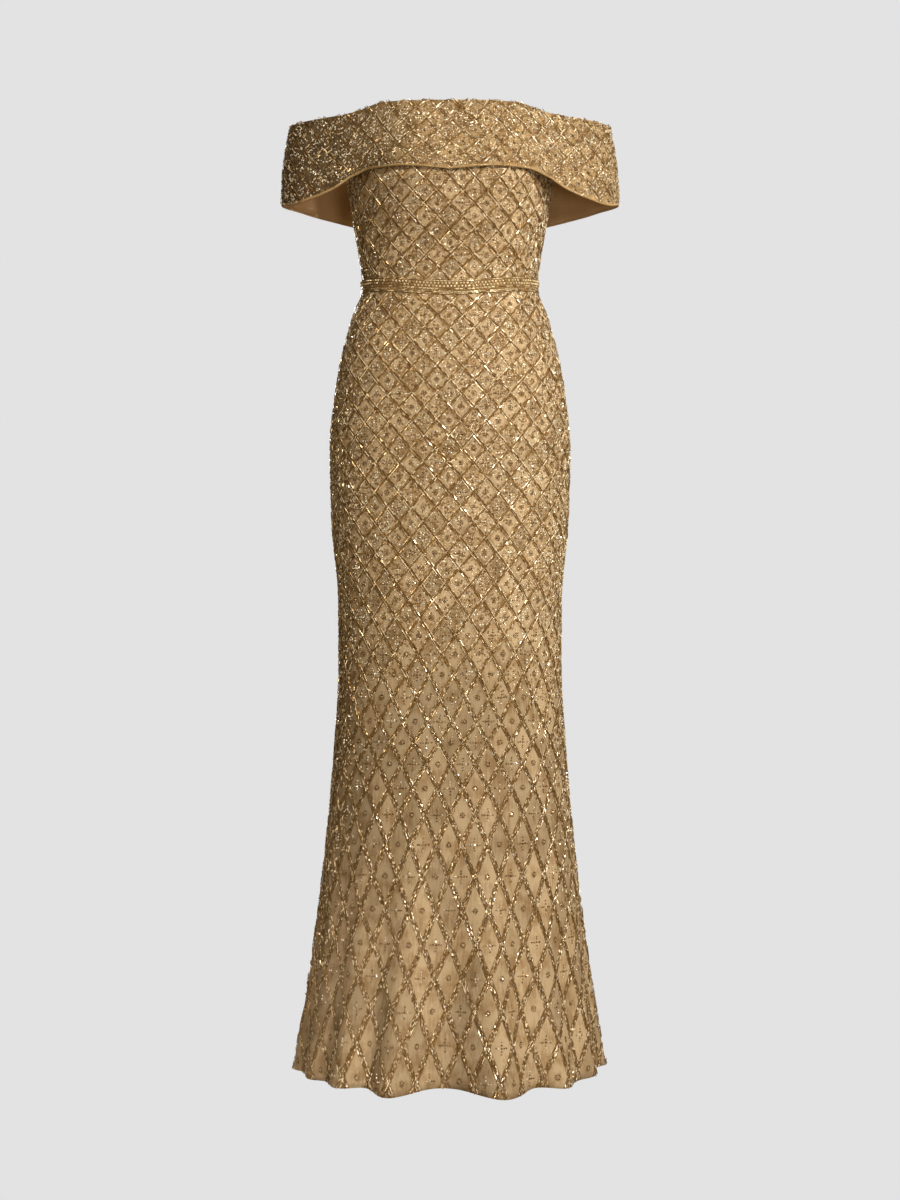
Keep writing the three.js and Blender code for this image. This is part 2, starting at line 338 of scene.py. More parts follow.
@dataclass
class CollarForm:
    """The turned-down collar that goes round both upper arms.

    Attributes:
        arms_top: half width, front depth and back depth of the ring round the arms, at its top.
        arms_hem: the same at its edge.
        stand: how far the collar lies off the bodice at its top.
        fall: how much further it lies off at its edge.
        crown: how far it bulges over the arms.
        join_power: how sharply the chest and the arms join.
        roll: radius of the fold.
    """

    form: GownForm
    arms_top: tuple[float, float, float] = (226, 92, 86)
    arms_hem: tuple[float, float, float] = (238, 104, 94)
    stand: float = 4.5
    fall: float = 2.5
    crown: float = 3
    join_power: float = 18
    roll: float = 2.4

    def top_z(self, turn: Array) -> Array:
        """Height of the collar's top at an angle."""
        return read_table(COLLAR_EDGES, 1, np.abs(angle_between(0, turn)))

    def hem_z(self, turn: Array) -> Array:
        """Height of the collar's edge at an angle."""
        return read_table(COLLAR_EDGES, 2, np.abs(angle_between(0, turn)))

    def face(self, turn: Array, down: Array) -> Array:
        """The face below the fold, at a share of the way down.

        On the chest it lies a little off the bodice, over the arms it is an ellipse, and a high
        power mean of the two distances from the axis joins them.
        """
        turn, down = np.broadcast_arrays(np.asarray(turn, float), np.asarray(down, float))
        z = (1 - down) * (self.top_z(turn) - self.roll) + down * self.hem_z(turn)
        half, front, back = (
            a + (b - a) * down for a, b in zip(self.arms_top, self.arms_hem, strict=True)
        )
        chest = self.form.radius(turn, z) + self.stand + self.fall * down * down
        arms = section_radius(turn, half, front, back, 2)
        joined = (chest**self.join_power + arms**self.join_power) ** (1 / self.join_power)
        bulge = np.sin(np.pi * np.clip(down, 0, 1)) * np.sin(np.radians(turn)) ** 2
        return polar(turn, joined + self.crown * bulge, z)

    def rolled(self, turn: Array, share: Array) -> Array:
        """The collar, with the half round of its fold in the first part of the share."""
        turn, share = np.broadcast_arrays(np.asarray(turn, float), np.asarray(share, float))
        bend = np.pi * np.clip(1 - share / FOLD_SHARE, 0, 1)
        foot = self.face(turn, np.maximum(0, (share - FOLD_SHARE) / (1 - FOLD_SHARE)))
        shift = polar(turn, -self.roll * (1 - np.cos(bend)), self.roll * np.sin(bend))
        return foot + shift


def normal_of(surface: Surface, turn: Array, down: Array, step: float) -> Array:
    """Outward normal of a surface of an angle and a place down it, from small differences."""
    across = surface(turn + 0.05, down) - surface(turn - 0.05, down)
    fall = surface(turn, down + step) - surface(turn, down - step)
    return unit(np.cross(fall, across))


def new_object(name: str, mesh: bpy.types.Mesh) -> bpy.types.Object:
    """Put a mesh into the scene as an object at the origin."""
    piece = bpy.data.objects.new(name, mesh)
    bpy.context.scene.collection.objects.link(piece)
    return piece


def mesh_from(name: str, points: Array, faces: Array, smooth: bool = True) -> bpy.types.Mesh:
    """Make a mesh of faces that all have the same number of corners.

    Args:
        name: the mesh's name.
        points: corner points in millimetres, one row each.
        faces: point numbers, one row for each face.
        smooth: whether the faces are shaded smooth.

    Returns:
        The mesh, in metres.
    """
    mesh = bpy.data.meshes.new(name)
    count, corners = faces.shape
    mesh.vertices.add(len(points))
    mesh.vertices.foreach_set("co", (points * MM).astype(np.float32).ravel())
    mesh.loops.add(count * corners)
    mesh.loops.foreach_set("vertex_index", faces.astype(np.int32).ravel())
    mesh.polygons.add(count)
    mesh.polygons.foreach_set("loop_start", np.arange(0, count * corners, corners, dtype=np.int32))
    mesh.polygons.foreach_set("use_smooth", np.full(count, smooth))
    mesh.update(calc_edges=True)
    return mesh


def grid_faces(rows: int, columns: int) -> Array:
    """Faces of a grid of points, turned so that the side towards the viewer faces out."""
    j, i = np.meshgrid(np.arange(rows), np.arange(columns), indexing="ij")
    a = (j * (columns + 1) + i).ravel()
    return np.stack([a, a + columns + 1, a + columns + 2, a + 1], axis=1)


def wall_mesh(
    name: str,
    outer: Array,
    inner: Array,
    materials: tuple[Material, ...],
    trellis: Array | None = None,
) -> bpy.types.Mesh:
    """Close two grids of points into a thin wall.

    Args:
        name: the mesh's name.
        outer: points of the outer face, rows by columns by 3, from the top down.
        inner: points of the inner face, in the same order.
        materials: of the outer face, of the inner face and any others.
        trellis: the two counts of trellis lines at each point, rows by columns by 2.

    Returns:
        The wall. Its inner face has the second material and everything else the first.
    """
    rows, columns = outer.shape[0] - 1, outer.shape[1] - 1
    sheet = (rows + 1) * (columns + 1)
    front = grid_faces(rows, columns)
    back = front[:, ::-1] + sheet
    i, j = np.arange(columns), np.arange(rows)
    low, right = rows * (columns + 1), columns
    down = columns + 1
    top = np.stack([sheet + i, i, i + 1, sheet + i + 1], axis=1)
    bottom = np.stack([low + i, sheet + low + i, sheet + low + i + 1, low + i + 1], axis=1)
    left = np.stack([sheet + j * down, sheet + (j + 1) * down, (j + 1) * down, j * down], axis=1)
    end = right + j * down
    close = np.stack([end, end + down, sheet + end + down, sheet + end], axis=1)
    faces = np.concatenate([front, back, top, bottom, left, close])
    points = np.concatenate([outer.reshape(-1, 3), inner.reshape(-1, 3)])
    mesh = mesh_from(name, points, faces)
    index = np.zeros(len(faces), dtype=np.int32)
    index[len(front) : len(front) + len(back)] = 1
    mesh.polygons.foreach_set("material_index", index)
    for layer_name, values in (("cloth", arc_uv(outer)), ("trellis", trellis)):
        if values is not None:
            layer = mesh.uv_layers.new(name=layer_name)
            flat = np.concatenate([values.reshape(-1, 2)] * 2)
            layer.data.foreach_set("uv", flat[faces.ravel()].astype(np.float32).ravel())
    for material in materials:
        mesh.materials.append(material)
    return mesh


def arc_uv(points: Array) -> Array:
    """Place of each grid point on the flat cloth, by the lengths along its row and column."""
    across = np.linalg.norm(np.diff(points, axis=1), axis=-1).cumsum(axis=1)
    down = np.linalg.norm(np.diff(points, axis=0), axis=-1).cumsum(axis=0)
    u = np.pad(across, ((0, 0), (1, 0)))
    v = np.pad(down, ((1, 0), (0, 0)))
    return np.stack([u - u[:, -1:] / 2, v], axis=-1) * MM


def add_cloth(
    node: str, kind: str, mesh: bpy.types.Mesh
) -> None:
    """Put a piece of cloth in the place of a solid.

    Args:
        node: the solid that it stands for.
        kind: what is added to the solid's name.
        mesh: the piece's mesh.
    """
    piece = new_object(node + kind, mesh)
    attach(piece, BODY)
    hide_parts(node)


def list_cells(span: tuple[int, int], low: float, high: float, across: int) -> tuple[Array, ...]:
    """List the middles of a trellis's cells.

    Args:
        span: first and last number of the slanting rows of cells.
        low: the cells lie further down than this.
        high: the cells lie no further down than this.
        across: twice the distance from the middle within which they lie.

    Returns:
        The cells' u and v, and 1 where a cell lies in an odd slanting row.
    """
    cells = [
        ((m + n + 1) / 2, (m - n) / 2, m % 2)
        for m in range(*span)
        for n in range(-across - m, across - m)
        if low < (m - n) / 2 <= high and abs(m + n + 1) < across
    ]
    u, v, kind = (np.array(column) for column in zip(*cells, strict=True))
    return u, v, kind


def ring_places() -> tuple[Array, Array]:
    """Places across and down of a ringed bead and the eight beads round it."""
    turn = np.arange(8) * np.pi / 4
    return np.concatenate([[0], 3.1 * np.cos(turn)]), np.concatenate([[0], 3.1 * np.sin(turn)])


class Cut(Enum):
    """Which half of the gown a pattern piece is cut for."""

    FRONT = 0
    BACK = 180


# Name, half of the gown and angles of the seams of the three pieces of each layer
PANELS = (
    ("front", Cut.FRONT, (-90, 90)),
    ("back_right", Cut.BACK, (90, 180)),
    ("back_left", Cut.BACK, (-180, -90)),
)


class NodeKit:
    """Short calls that add a node to a new material and return its output."""

    def __init__(self, name: str, rough: float, sheen: float = 0.0, gloss: float = 0.1) -> None:
        """Start a material with a roughness, a sheen and a gloss."""
        self.material = bpy.data.materials.new(name)
        self.material.use_nodes = True
        self.nodes = self.material.node_tree.nodes
        self.links = self.material.node_tree.links
        self.shader = self.nodes["Principled BSDF"]
        self.shader.inputs["Roughness"].default_value = rough
        self.shader.inputs["Sheen Weight"].default_value = sheen
        self.shader.inputs["Sheen Roughness"].default_value = 0.4
        self.shader.inputs["Specular IOR Level"].default_value = gloss

    def feed(self, socket: Socket, value: object) -> None:
        """Link an output to a socket, or set the socket to a number, colour or vector."""
        if isinstance(value, Socket):
            self.links.new(value, socket)
        elif isinstance(value, tuple) and len(value) == 3 and socket.type == "RGBA":
            socket.default_value = (*value, 1)
        else:
            socket.default_value = value

    def math(self, operation: str, *values: object) -> Socket:
        """Add a Math node."""
        node = self.nodes.new("ShaderNodeMath")
        node.operation = operation
        for socket, value in zip(node.inputs, values):
            self.feed(socket, value)
        return node.outputs[0]

    def times(self, *values: object) -> Socket:
        """Multiply two values."""
        return self.math("MULTIPLY", *values)

    def step(self, value: object, low: float, high: float, a: float = 0, b: float = 1) -> Socket:
        """Add a smooth step from a, at low, to b, at high."""
        node = self.nodes.new("ShaderNodeMapRange")
        node.interpolation_type = "SMOOTHSTEP"
        for socket, entry in zip(node.inputs, (value, low, high, a, b)):
            self.feed(socket, entry)
        return node.outputs[0]

    def mix(self, share: object, a: object, b: object, blend: str = "MIX") -> Socket:
        """Add a Mix node for colours."""
        node = self.nodes.new("ShaderNodeMix")
        node.data_type = "RGBA"
        node.blend_type = blend
        for index, value in ((0, share), (6, a), (7, b)):
            self.feed(node.inputs[index], value)
        return node.outputs[2]

    def ramp(self, value: object, *stops: tuple[float, Colour]) -> Socket:
        """Add a colour ramp with these stops."""
        node = self.nodes.new("ShaderNodeValToRGB")
        elements = node.color_ramp.elements
        for position, _ in stops[1:-1]:
            elements.new(position)
        for element, (position, colour) in zip(elements, stops):
            element.position = position
            element.color = (*colour, 1)
        self.feed(node.inputs[0], value)
        return node.outputs[0]

    def noise(self, vector: object, scale: float, detail: float) -> Socket:
        """Add a noise texture and return its value."""
        node = self.nodes.new("ShaderNodeTexNoise")
        node.inputs["Scale"].default_value = scale
        node.inputs["Detail"].default_value = detail
        self.feed(node.inputs["Vector"], vector)
        return node.outputs["Fac"]

    def place(self, stretch: Vec3 | None = None) -> Socket:
        """Object coordinates, multiplied by a vector if one is given."""
        out = self.nodes.new("ShaderNodeTexCoord").outputs["Object"]
        if stretch is None:
            return out
        node = self.nodes.new("ShaderNodeMapping")
        node.inputs["Scale"].default_value = stretch
        self.feed(node.inputs["Vector"], out)
        return node.outputs[0]

    def layer(self, name: str) -> Socket:
        """A UV layer of the piece."""
        node = self.nodes.new("ShaderNodeUVMap")
        node.uv_map = name
        return node.outputs[0]

    def split(self, vector: object) -> list[Socket]:
        """The three parts of a vector."""
        node = self.nodes.new("ShaderNodeSeparateXYZ")
        self.feed(node.inputs[0], vector)
        return list(node.outputs)

    def bump(self, height: object, strength: float, distance: float) -> None:
        """Let a height shape the shader's normal."""
        node = self.nodes.new("ShaderNodeBump")
        node.inputs["Strength"].default_value = strength
        node.inputs["Distance"].default_value = distance
        self.feed(node.inputs["Height"], height)
        self.links.new(node.outputs[0], self.shader.inputs["Normal"])

    def weave(self, threads: float) -> Socket:
        """Height of a plain weave with so many threads to a metre."""
        waves = []
        for direction in ("X", "Y"):
            node = self.nodes.new("ShaderNodeTexWave")
            node.bands_direction = direction
            node.inputs["Scale"].default_value = threads / 20
            node.inputs["Distortion"].default_value = 0.6
            self.feed(node.inputs["Vector"], self.layer("cloth"))
            waves.append(node.outputs["Fac"])
        return self.times(*waves)


@dataclass(frozen=True)
class ClothFinish:
    """Plain cloth with a fine weave, uneven in tone.

    Attributes:
        name: the material's name.
        light: colour of the lighter threads.
        dark: colour of the darker threads.
        rough: roughness.
        sheen: weight of the sheen.
        thread: threads to a metre.
    """

    name: str
    light: Colour
    dark: Colour
    rough: float = 0.6
    sheen: float = 0.15
    thread: float = 1400

    def make(self) -> Material:
        """Build the material's nodes.

        Returns:
            The material.
        """
        kit = NodeKit(self.name, self.rough, self.sheen)
        place = kit.place()
        cloud, grain = kit.noise(place, 34, 5), kit.noise(place, 620, 2)
        tone = kit.math("MULTIPLY_ADD", grain, 0.55, cloud)
        colour = kit.ramp(tone, (0.55, self.dark), (0.95, self.light))
        kit.feed(kit.shader.inputs["Base Color"], colour)
        kit.bump(kit.math("ADD", kit.weave(self.thread), grain), 0.35, 0.0004)
        return kit.material


@dataclass(frozen=True)
class TrellisFinish:
    """Silky net between the strands, with the finest beads and stitches, too small to model.

    The trellis layer counts the lines, so a line lies where either count is a whole number and
    a cell's middle where both are halfway. Seed beads stand one to a Voronoi cell.

    Attributes:
        name: the material's name.
        light: colour of the net where it is smooth.
        dark: colour of the net in its uneven places.
        line: colour of the dark thread under the strands, which also stands for painted shade
            beside and between the beads.
        line_weight: how strongly that thread and its painted shade show.
        seeds: share of places with a seed bead where they stand thickest.
        lean: how light it is at -X: a painted shade over the collar's left side, fading out round
            the back.
        fade: heights in metres between which the seed beads give way to plain net.
    """

    name: str
    light: Colour
    dark: Colour
    line: Colour
    line_weight: float = 0.6
    seeds: float = 0.5
    lean: float = 1.0
    fade: tuple[float, float] = (-0.66, -0.42)

    def make(self) -> Material:
        """Build the material's nodes.

        Returns:
            The material.
        """
        kit = NodeKit(self.name, 0.6, 0.08)
        place = kit.place()
        upper = kit.step(kit.split(place)[2], *self.fade)
        grain = kit.noise(place, 520, 2)
        cloud = kit.noise(place, 42, 5)
        silk = kit.noise(kit.place((1, 1, 0.07)), 330, 3)
        tone = kit.math("MULTIPLY_ADD", cloud, 0.65, kit.times(silk, 0.35))
        net = kit.ramp(tone, (0.38, self.dark), (0.56, self.light))

        u, v, _ = kit.split(kit.layer("trellis"))
        number = kit.nodes.new("ShaderNodeCombineXYZ")
        for socket, value in zip(number.inputs, (u, v)):
            kit.feed(socket, kit.math("FLOOR", value))
        chance = kit.nodes.new("ShaderNodeTexWhiteNoise")
        chance.noise_dimensions = "2D"
        kit.links.new(number.outputs[0], chance.inputs["Vector"])
        shade = kit.step(chance.outputs["Value"], 0, 1, 0.84, 1.12)
        # Painted shade: the net is made a little darker down the skirt, where less light falls.
        shade = kit.times(shade, kit.step(upper, 0, 1, 0.9, 1.01))
        net = kit.mix(1.0, net, shade, "MULTIPLY")
        odd = kit.math("PINGPONG", kit.math("FLOOR", u), 1.0)
        even = kit.math("SUBTRACT", 1.0, odd)

        edges = [kit.math("PINGPONG", value, 0.5) for value in (u, v)]
        near = kit.math("MINIMUM", *edges)
        near = kit.math("ADD", near, kit.math("MULTIPLY_ADD", grain, 0.05, -0.025))
        ring = kit.times(kit.step(near, 0.2, 0.26), kit.step(near, 0.33, 0.39, 1, 0))
        ring = kit.times(ring, kit.times(even, kit.times(upper, 0.55)))
        pale = tuple(min(1.0, 1.25 * part) for part in self.light)
        colour = kit.mix(ring, net, pale)
        inner = [kit.math("POWER", kit.math("SUBTRACT", 0.5, edge), 2.0) for edge in edges]
        radius = kit.math("SQRT", kit.math("ADD", *inner))
        eye = kit.times(kit.step(radius, 0.06, 0.1, 1, 0), kit.times(even, 0.3))
        colour = kit.mix(eye, colour, self.line)

        dots = kit.nodes.new("ShaderNodeTexVoronoi")
        dots.voronoi_dimensions = "2D"
        dots.inputs["Scale"].default_value = 270
        kit.links.new(kit.layer("cloth"), dots.inputs["Vector"])
        pick = kit.split(dots.outputs["Color"])
        wanted = kit.math("MULTIPLY_ADD", odd, 0.35, 0.65)
        wanted = kit.times(kit.times(wanted, upper), self.seeds)
        there = kit.math("LESS_THAN", pick[0], wanted)
        disc = kit.times(kit.step(dots.outputs["Distance"], 0.26, 0.36, 1, 0), there)
        # Each seed bead has a dark ring round it: painted shade on the net beside the bead.
        painted_seed_shade = kit.times(kit.step(dots.outputs["Distance"], 0.36, 0.6, 1, 0), there)
        colour = kit.mix(kit.times(painted_seed_shade, 0.7), colour, self.line)
        # Painted shade: the colour darkens towards -X, over the collar's left side, and not round
        # the back.
        if self.lean < 1:
            x, y, _ = kit.split(place)
            reach = kit.math("MULTIPLY_ADD", kit.math("MAXIMUM", y, 0), 4.0, x)
            shaded = kit.step(reach, -0.17, -0.01, self.lean, 1.0)
            colour = kit.mix(1.0, colour, shaded, "MULTIPLY")
        # Seed beads from dark to near white; the palest are partly their glass and partly painted
        # glints.
        seed = kit.ramp(
            pick[1],
            (0.0, (0.17, 0.09, 0.028)),
            (0.6, (0.34, 0.2, 0.072)),
            (0.76, (0.7, 0.47, 0.21)),
            (0.85, (1.0, 0.9, 0.64)),
        )
        colour = kit.mix(disc, colour, seed)
        nearer = kit.math("LESS_THAN", *edges)
        further = kit.math("SUBTRACT", 1.0, nearer)
        across, along = (
            kit.math("MULTIPLY_ADD", a, nearer, kit.times(b, further))
            for a, b in ((u, v), (v, u))
        )
        strand = kit.math("FLOOR", kit.times(across, 22))
        shift = kit.times(strand, 0.37)
        bead = kit.nodes.new("ShaderNodeCombineXYZ")
        kit.feed(bead.inputs[0], strand)
        kit.feed(bead.inputs[1], kit.math("FLOOR", kit.math("MULTIPLY_ADD", along, 20, shift)))
        kit.feed(bead.inputs[2], nearer)
        pick = kit.nodes.new("ShaderNodeTexWhiteNoise")
        kit.links.new(bead.outputs[0], pick.inputs["Vector"])
        # Fine beads painted along the lines, dark to near white; the palest are partly their glass
        # and partly painted glints.
        thread = kit.ramp(
            kit.times(pick.outputs["Value"], kit.step(upper, 0, 1, 1.0, 0.72)),
            (0.15, self.line),
            (0.6, tuple(2.0 * part for part in self.line)),
            (0.82, (0.5, 0.32, 0.125)),
            (0.9, (1.0, 0.8, 0.48)),
        )
        width = kit.step(upper, 0, 1, 0.13, 0.09)
        line = kit.step(near, kit.math("SUBTRACT", width, 0.03), width, self.line_weight, 0)
        # Painted shade: a darker rim along both sides of each line's band.
        rim = kit.step(near, kit.math("SUBTRACT", width, 0.06), kit.math("SUBTRACT", width, 0.02))
        thread = kit.mix(kit.times(rim, 0.7), thread, self.line)
        # The same painted shade darkens the lines towards -X.
        if self.lean < 1:
            thread = kit.mix(1.0, thread, shaded, "MULTIPLY")
        colour = kit.mix(line, colour, thread)
        kit.feed(kit.shader.inputs["Base Color"], colour)
        kit.feed(kit.shader.inputs["Roughness"], kit.step(disc, 0, 1, 0.6, 0.42))
        rise = kit.math("ADD", disc, kit.times(grain, 0.3))
        kit.bump(kit.math("MULTIPLY_ADD", kit.weave(1300), 0.2, rise), 0.6, 0.0006)
        return kit.material


@dataclass(frozen=True)
class BeadFinish:
    """Gold-lined glass, different from bead to bead.

    Attributes:
        name: the material's name.
        dark: colour of the darkest beads.
        mid: colour of most beads.
        light: colour of the palest beads, partly their glass and partly a painted highlight.
        rough: roughness.
        metal: how much the lining shines like metal.
    """

    name: str
    dark: Colour
    mid: Colour
    light: Colour
    rough: float = 0.3
    metal: float = 0.3

    def make(self) -> Material:
        """Build the material's nodes.

        Returns:
            The material.
        """
        kit = NodeKit(self.name, self.rough, 0.0, 0.6)
        kit.shader.inputs["Metallic"].default_value = self.metal
        kit.shader.inputs["Coat Weight"].default_value = 0.3
        kit.shader.inputs["Coat Roughness"].default_value = 0.12
        tone = kit.nodes.new("ShaderNodeAttribute")
        tone.attribute_name = "tone"
        stops = (0.05, self.dark), (0.5, self.mid), (0.95, self.light)
        colour = kit.ramp(tone.outputs["Fac"], *stops)
        kit.feed(kit.shader.inputs["Base Color"], colour)
        return kit.material


GROUND = TrellisFinish(
    "beaded_ground", (0.475, 0.335, 0.182), (0.31, 0.186, 0.08), (0.135, 0.062, 0.013), 0.88
)
# The collar's ground has lean 0.32: painted shade towards -X.
THICK = TrellisFinish(
    "collar_ground", (0.385, 0.25, 0.113), (0.21, 0.12, 0.044), (0.1, 0.042, 0.009), 0.5, 0.62, 0.32
)
LINING = ClothFinish("plain_lining", (0.57, 0.355, 0.17), (0.48, 0.29, 0.128), 0.7, 0.05, 1100)
HEMMED = ClothFinish("turned_edge", (0.44, 0.28, 0.115), (0.34, 0.205, 0.078), 0.6, 0.05, 1100)
TAPE = ClothFinish("zip_tape", (0.34, 0.23, 0.12), (0.25, 0.16, 0.08), 0.7, 0.1, 900)
BAND = ClothFinish("band_tape", (0.28, 0.165, 0.06), (0.17, 0.092, 0.03), 0.6, 0.05, 900)
STRAND = BeadFinish("strand_beads", (0.15, 0.075, 0.016), (0.44, 0.265, 0.09), (1.0, 0.84, 0.55))
MOTIF = BeadFinish(
    "motif_beads", (0.14, 0.066, 0.015), (0.44, 0.265, 0.09), (1.0, 0.92, 0.72), 0.28, 0.4
)
TRIM = BeadFinish("trim_beads", (0.16, 0.085, 0.025), (0.46, 0.28, 0.1), (1.0, 0.84, 0.52))
COIL = BeadFinish("zip_coil", (0.2, 0.13, 0.06), (0.3, 0.2, 0.1), (0.4, 0.27, 0.14), 0.4, 0.0)


def glass_tones(rng: Random, count: int, pale: Array | float) -> Array:
    """Tones of beads: a share of them pale, partly paler glass and partly painted highlights, and
    the others from dark to middling.
    """
    return np.where(
        rng.uniform(size=count) < pale,
        rng.uniform(0.75, 1.0, count),
        rng.uniform(0.0, 0.62, count),
    )


@dataclass
class Beads:
    """Beads gathered from rows and motifs until they are made one mesh.

    Attributes:
        name: the piece's name.
        finish: its material.
        slot: its material slot.
        is_tube: whether the beads are tubes. A round bead is an octahedron.
        seed: start of the random numbers.
        parts: centre, direction, normal, length, radius and tone of the beads so far.
    """

    name: str
    finish: Material
    # slot: its material slot, which is not used.
    slot: str
    is_tube: bool = True
    seed: int = 1
    parts: list[tuple[Array, ...]] = field(default_factory=list)

    def add(
        self, centre: Array, axis: Array, normal: Array, length: Array, radius: Array, tone: Array
    ) -> None:
        """Keep beads by centre, direction, normal, length, radius and tone."""
        if len(centre):
            n = len(centre)
            sizes = [np.broadcast_to(np.asarray(a, float), (n,)) for a in (length, radius, tone)]
            self.parts.append((centre, axis, normal, *sizes))

    def add_round(
        self, place: Array, normal: Array, size: Array, tone: Array, tilt: float, rng: Random
    ) -> None:
        """Keep round beads that sit on the cloth, each tilted at random."""
        axis = unit(normal + rng.normal(0, tilt, place.shape))
        side = unit(np.cross(normal, rng.normal(0, 1, place.shape)))
        centre = place + normal * (size * 0.55 + 0.1)[:, None]
        self.add(centre, axis, side, size * 1.8, size, tone)

    def make(self) -> None:
        """Join the beads into one piece that rides on the gown.

        A tube bead is a prism without its ends, which the next bead hides. A round bead has six
        corners. Each is turned about its own axis by a random angle, so they catch the light
        unevenly.
        """
        centre, axis, normal, length, radius, tone = (
            np.concatenate(column) for column in zip(*self.parts, strict=True)
        )
        rng = np.random.default_rng(self.seed)
        n = len(centre)
        axis = unit(axis)
        side = unit(np.cross(normal, axis))
        up = np.cross(axis, side)
        roll = rng.uniform(0, 2 * np.pi, n)
        turn = roll[:, None] + np.arange(SIDES) * 2 * np.pi / SIDES
        ring = (
            np.cos(turn)[..., None] * up[:, None] + np.sin(turn)[..., None] * side[:, None]
        ) * radius[:, None, None]
        reach = (axis * length[:, None] / 2)[:, None]
        middle, here = centre[:, None], np.arange(SIDES)
        after = (here + 1) % SIDES
        if self.is_tube:
            points = np.concatenate([middle + ring - reach, middle + ring + reach], axis=1)
            template = np.stack([here, after, after + SIDES, here + SIDES], axis=1)
        else:
            points = np.concatenate([middle + ring, middle - reach, middle + reach], axis=1)
            low, high = np.full(SIDES, SIDES), np.full(SIDES, SIDES + 1)
            template = np.concatenate(
                [np.stack([here, after, high], axis=1), np.stack([after, here, low], axis=1)]
            )
        corners = points.shape[1]
        faces = template[None] + (np.arange(n) * corners)[:, None, None]
        faces = faces.reshape(-1, template.shape[1])
        mesh = mesh_from(self.name, points.reshape(-1, 3), faces, smooth=False)
        tones = mesh.attributes.new("tone", "FLOAT", "POINT")
        tones.data.foreach_set("value", np.repeat(tone, corners).astype(np.float32))
        mesh.materials.append(self.finish)
        piece = new_object(self.name, mesh)
        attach(piece, BODY)
        log.info("%s: %d beads, %d triangles", self.name, n, len(faces) * (template.shape[1] - 2))


@dataclass
class Trellis:
    """Where the lines and motifs of a trellis lie on one half of the body.

    A cell is one unit wide in u and one high in v. The lines are those on which u + v or u - v
    is a whole number. u is the length round the gown from the middle of the half, divided by the
    cell's width, and v counts the cells down the gown.

    Attributes:
        cut: which half of the gown.
        rows: height, cells counted down to it, the cell's width there and the sideways lean.
        levels: how many heights it is measured at.
    """

    form: GownForm
    cut: Cut
    rows: Array
    levels: int = 260

    def __post_init__(self) -> None:
        """Measure the length round the gown at many heights, for both ways of reading it."""
        self.z_grid = np.linspace(self.rows[0, 0], self.rows[-1, 0], self.levels)
        self.v_grid = read_table(self.rows, 1, self.z_grid)
        self.turns = np.linspace(-TURN_REACH, TURN_REACH, 4 * TURN_REACH + 1)
        points = self.form.point(self.turns[None] + self.cut.value, self.z_grid[:, None])
        steps = np.linalg.norm(np.diff(points, axis=1), axis=-1)
        length = np.pad(steps.cumsum(axis=1), ((0, 0), (1, 0)))
        self.length = length - length[:, len(self.turns) // 2][:, None]
        s_grid = np.linspace(-ARC_REACH, ARC_REACH, 2 * ARC_REACH + 1)
        off = TURN_REACH + 1
        self.turn_of_s = np.stack(
            [np.interp(s_grid, row, self.turns, -off, off) for row in self.length]
        )

    def z_of(self, v: Array) -> Array:
        """Height at a count of cells."""
        return np.interp(v, self.v_grid, self.z_grid)

    def level(self, z: Array, last: float) -> Array:
        """Fractional row of a height in the measured grid, up to a last one."""
        share = (z - self.z_grid[0]) / (self.z_grid[-1] - self.z_grid[0])
        return np.clip(share * (self.levels - 1), 0, last)

    def turn_at(self, u: Array, z: Array) -> Array:
        """Angle from the middle of the half, from u and the height, between table rows."""
        s = u * read_table(self.rows, 2, z) + read_table(self.rows, 3, z)
        a = self.level(z, self.levels - 1.001)
        b = np.clip(s + ARC_REACH, 0, 2 * ARC_REACH - 0.001)
        return read_grid(self.turn_of_s, a, b)

    def count(self, turn: Array, z: Array) -> Array:
        """How many lines of each family lie before a point: u + v and u - v, from turn and z."""
        rel = angle_between(self.cut.value, turn)
        a = self.level(z, 0.9999 * (self.levels - 1))
        b = np.clip((rel + TURN_REACH) * 2, 0, 4 * TURN_REACH - 0.001)
        s = read_grid(self.length, a, b)
        width, lean, v = (read_table(self.rows, k, z) for k in (2, 3, 1))
        u = (s - lean) / width
        return np.stack([u + v, u - v], axis=-1)

    def place(self, u: Array, v: Array) -> tuple[Array, Array, Array]:
        """Angle, height and point of a place in the trellis."""
        z = self.z_of(v)
        turn = self.turn_at(u, z)
        whole = turn + self.cut.value
        return turn, z, self.form.point(whole, z)

    def normal(self, turn: Array, z: Array) -> Array:
        """Outward normal of the gown at an angle of this half and a height."""
        return self.form.normal(turn + self.cut.value, z)


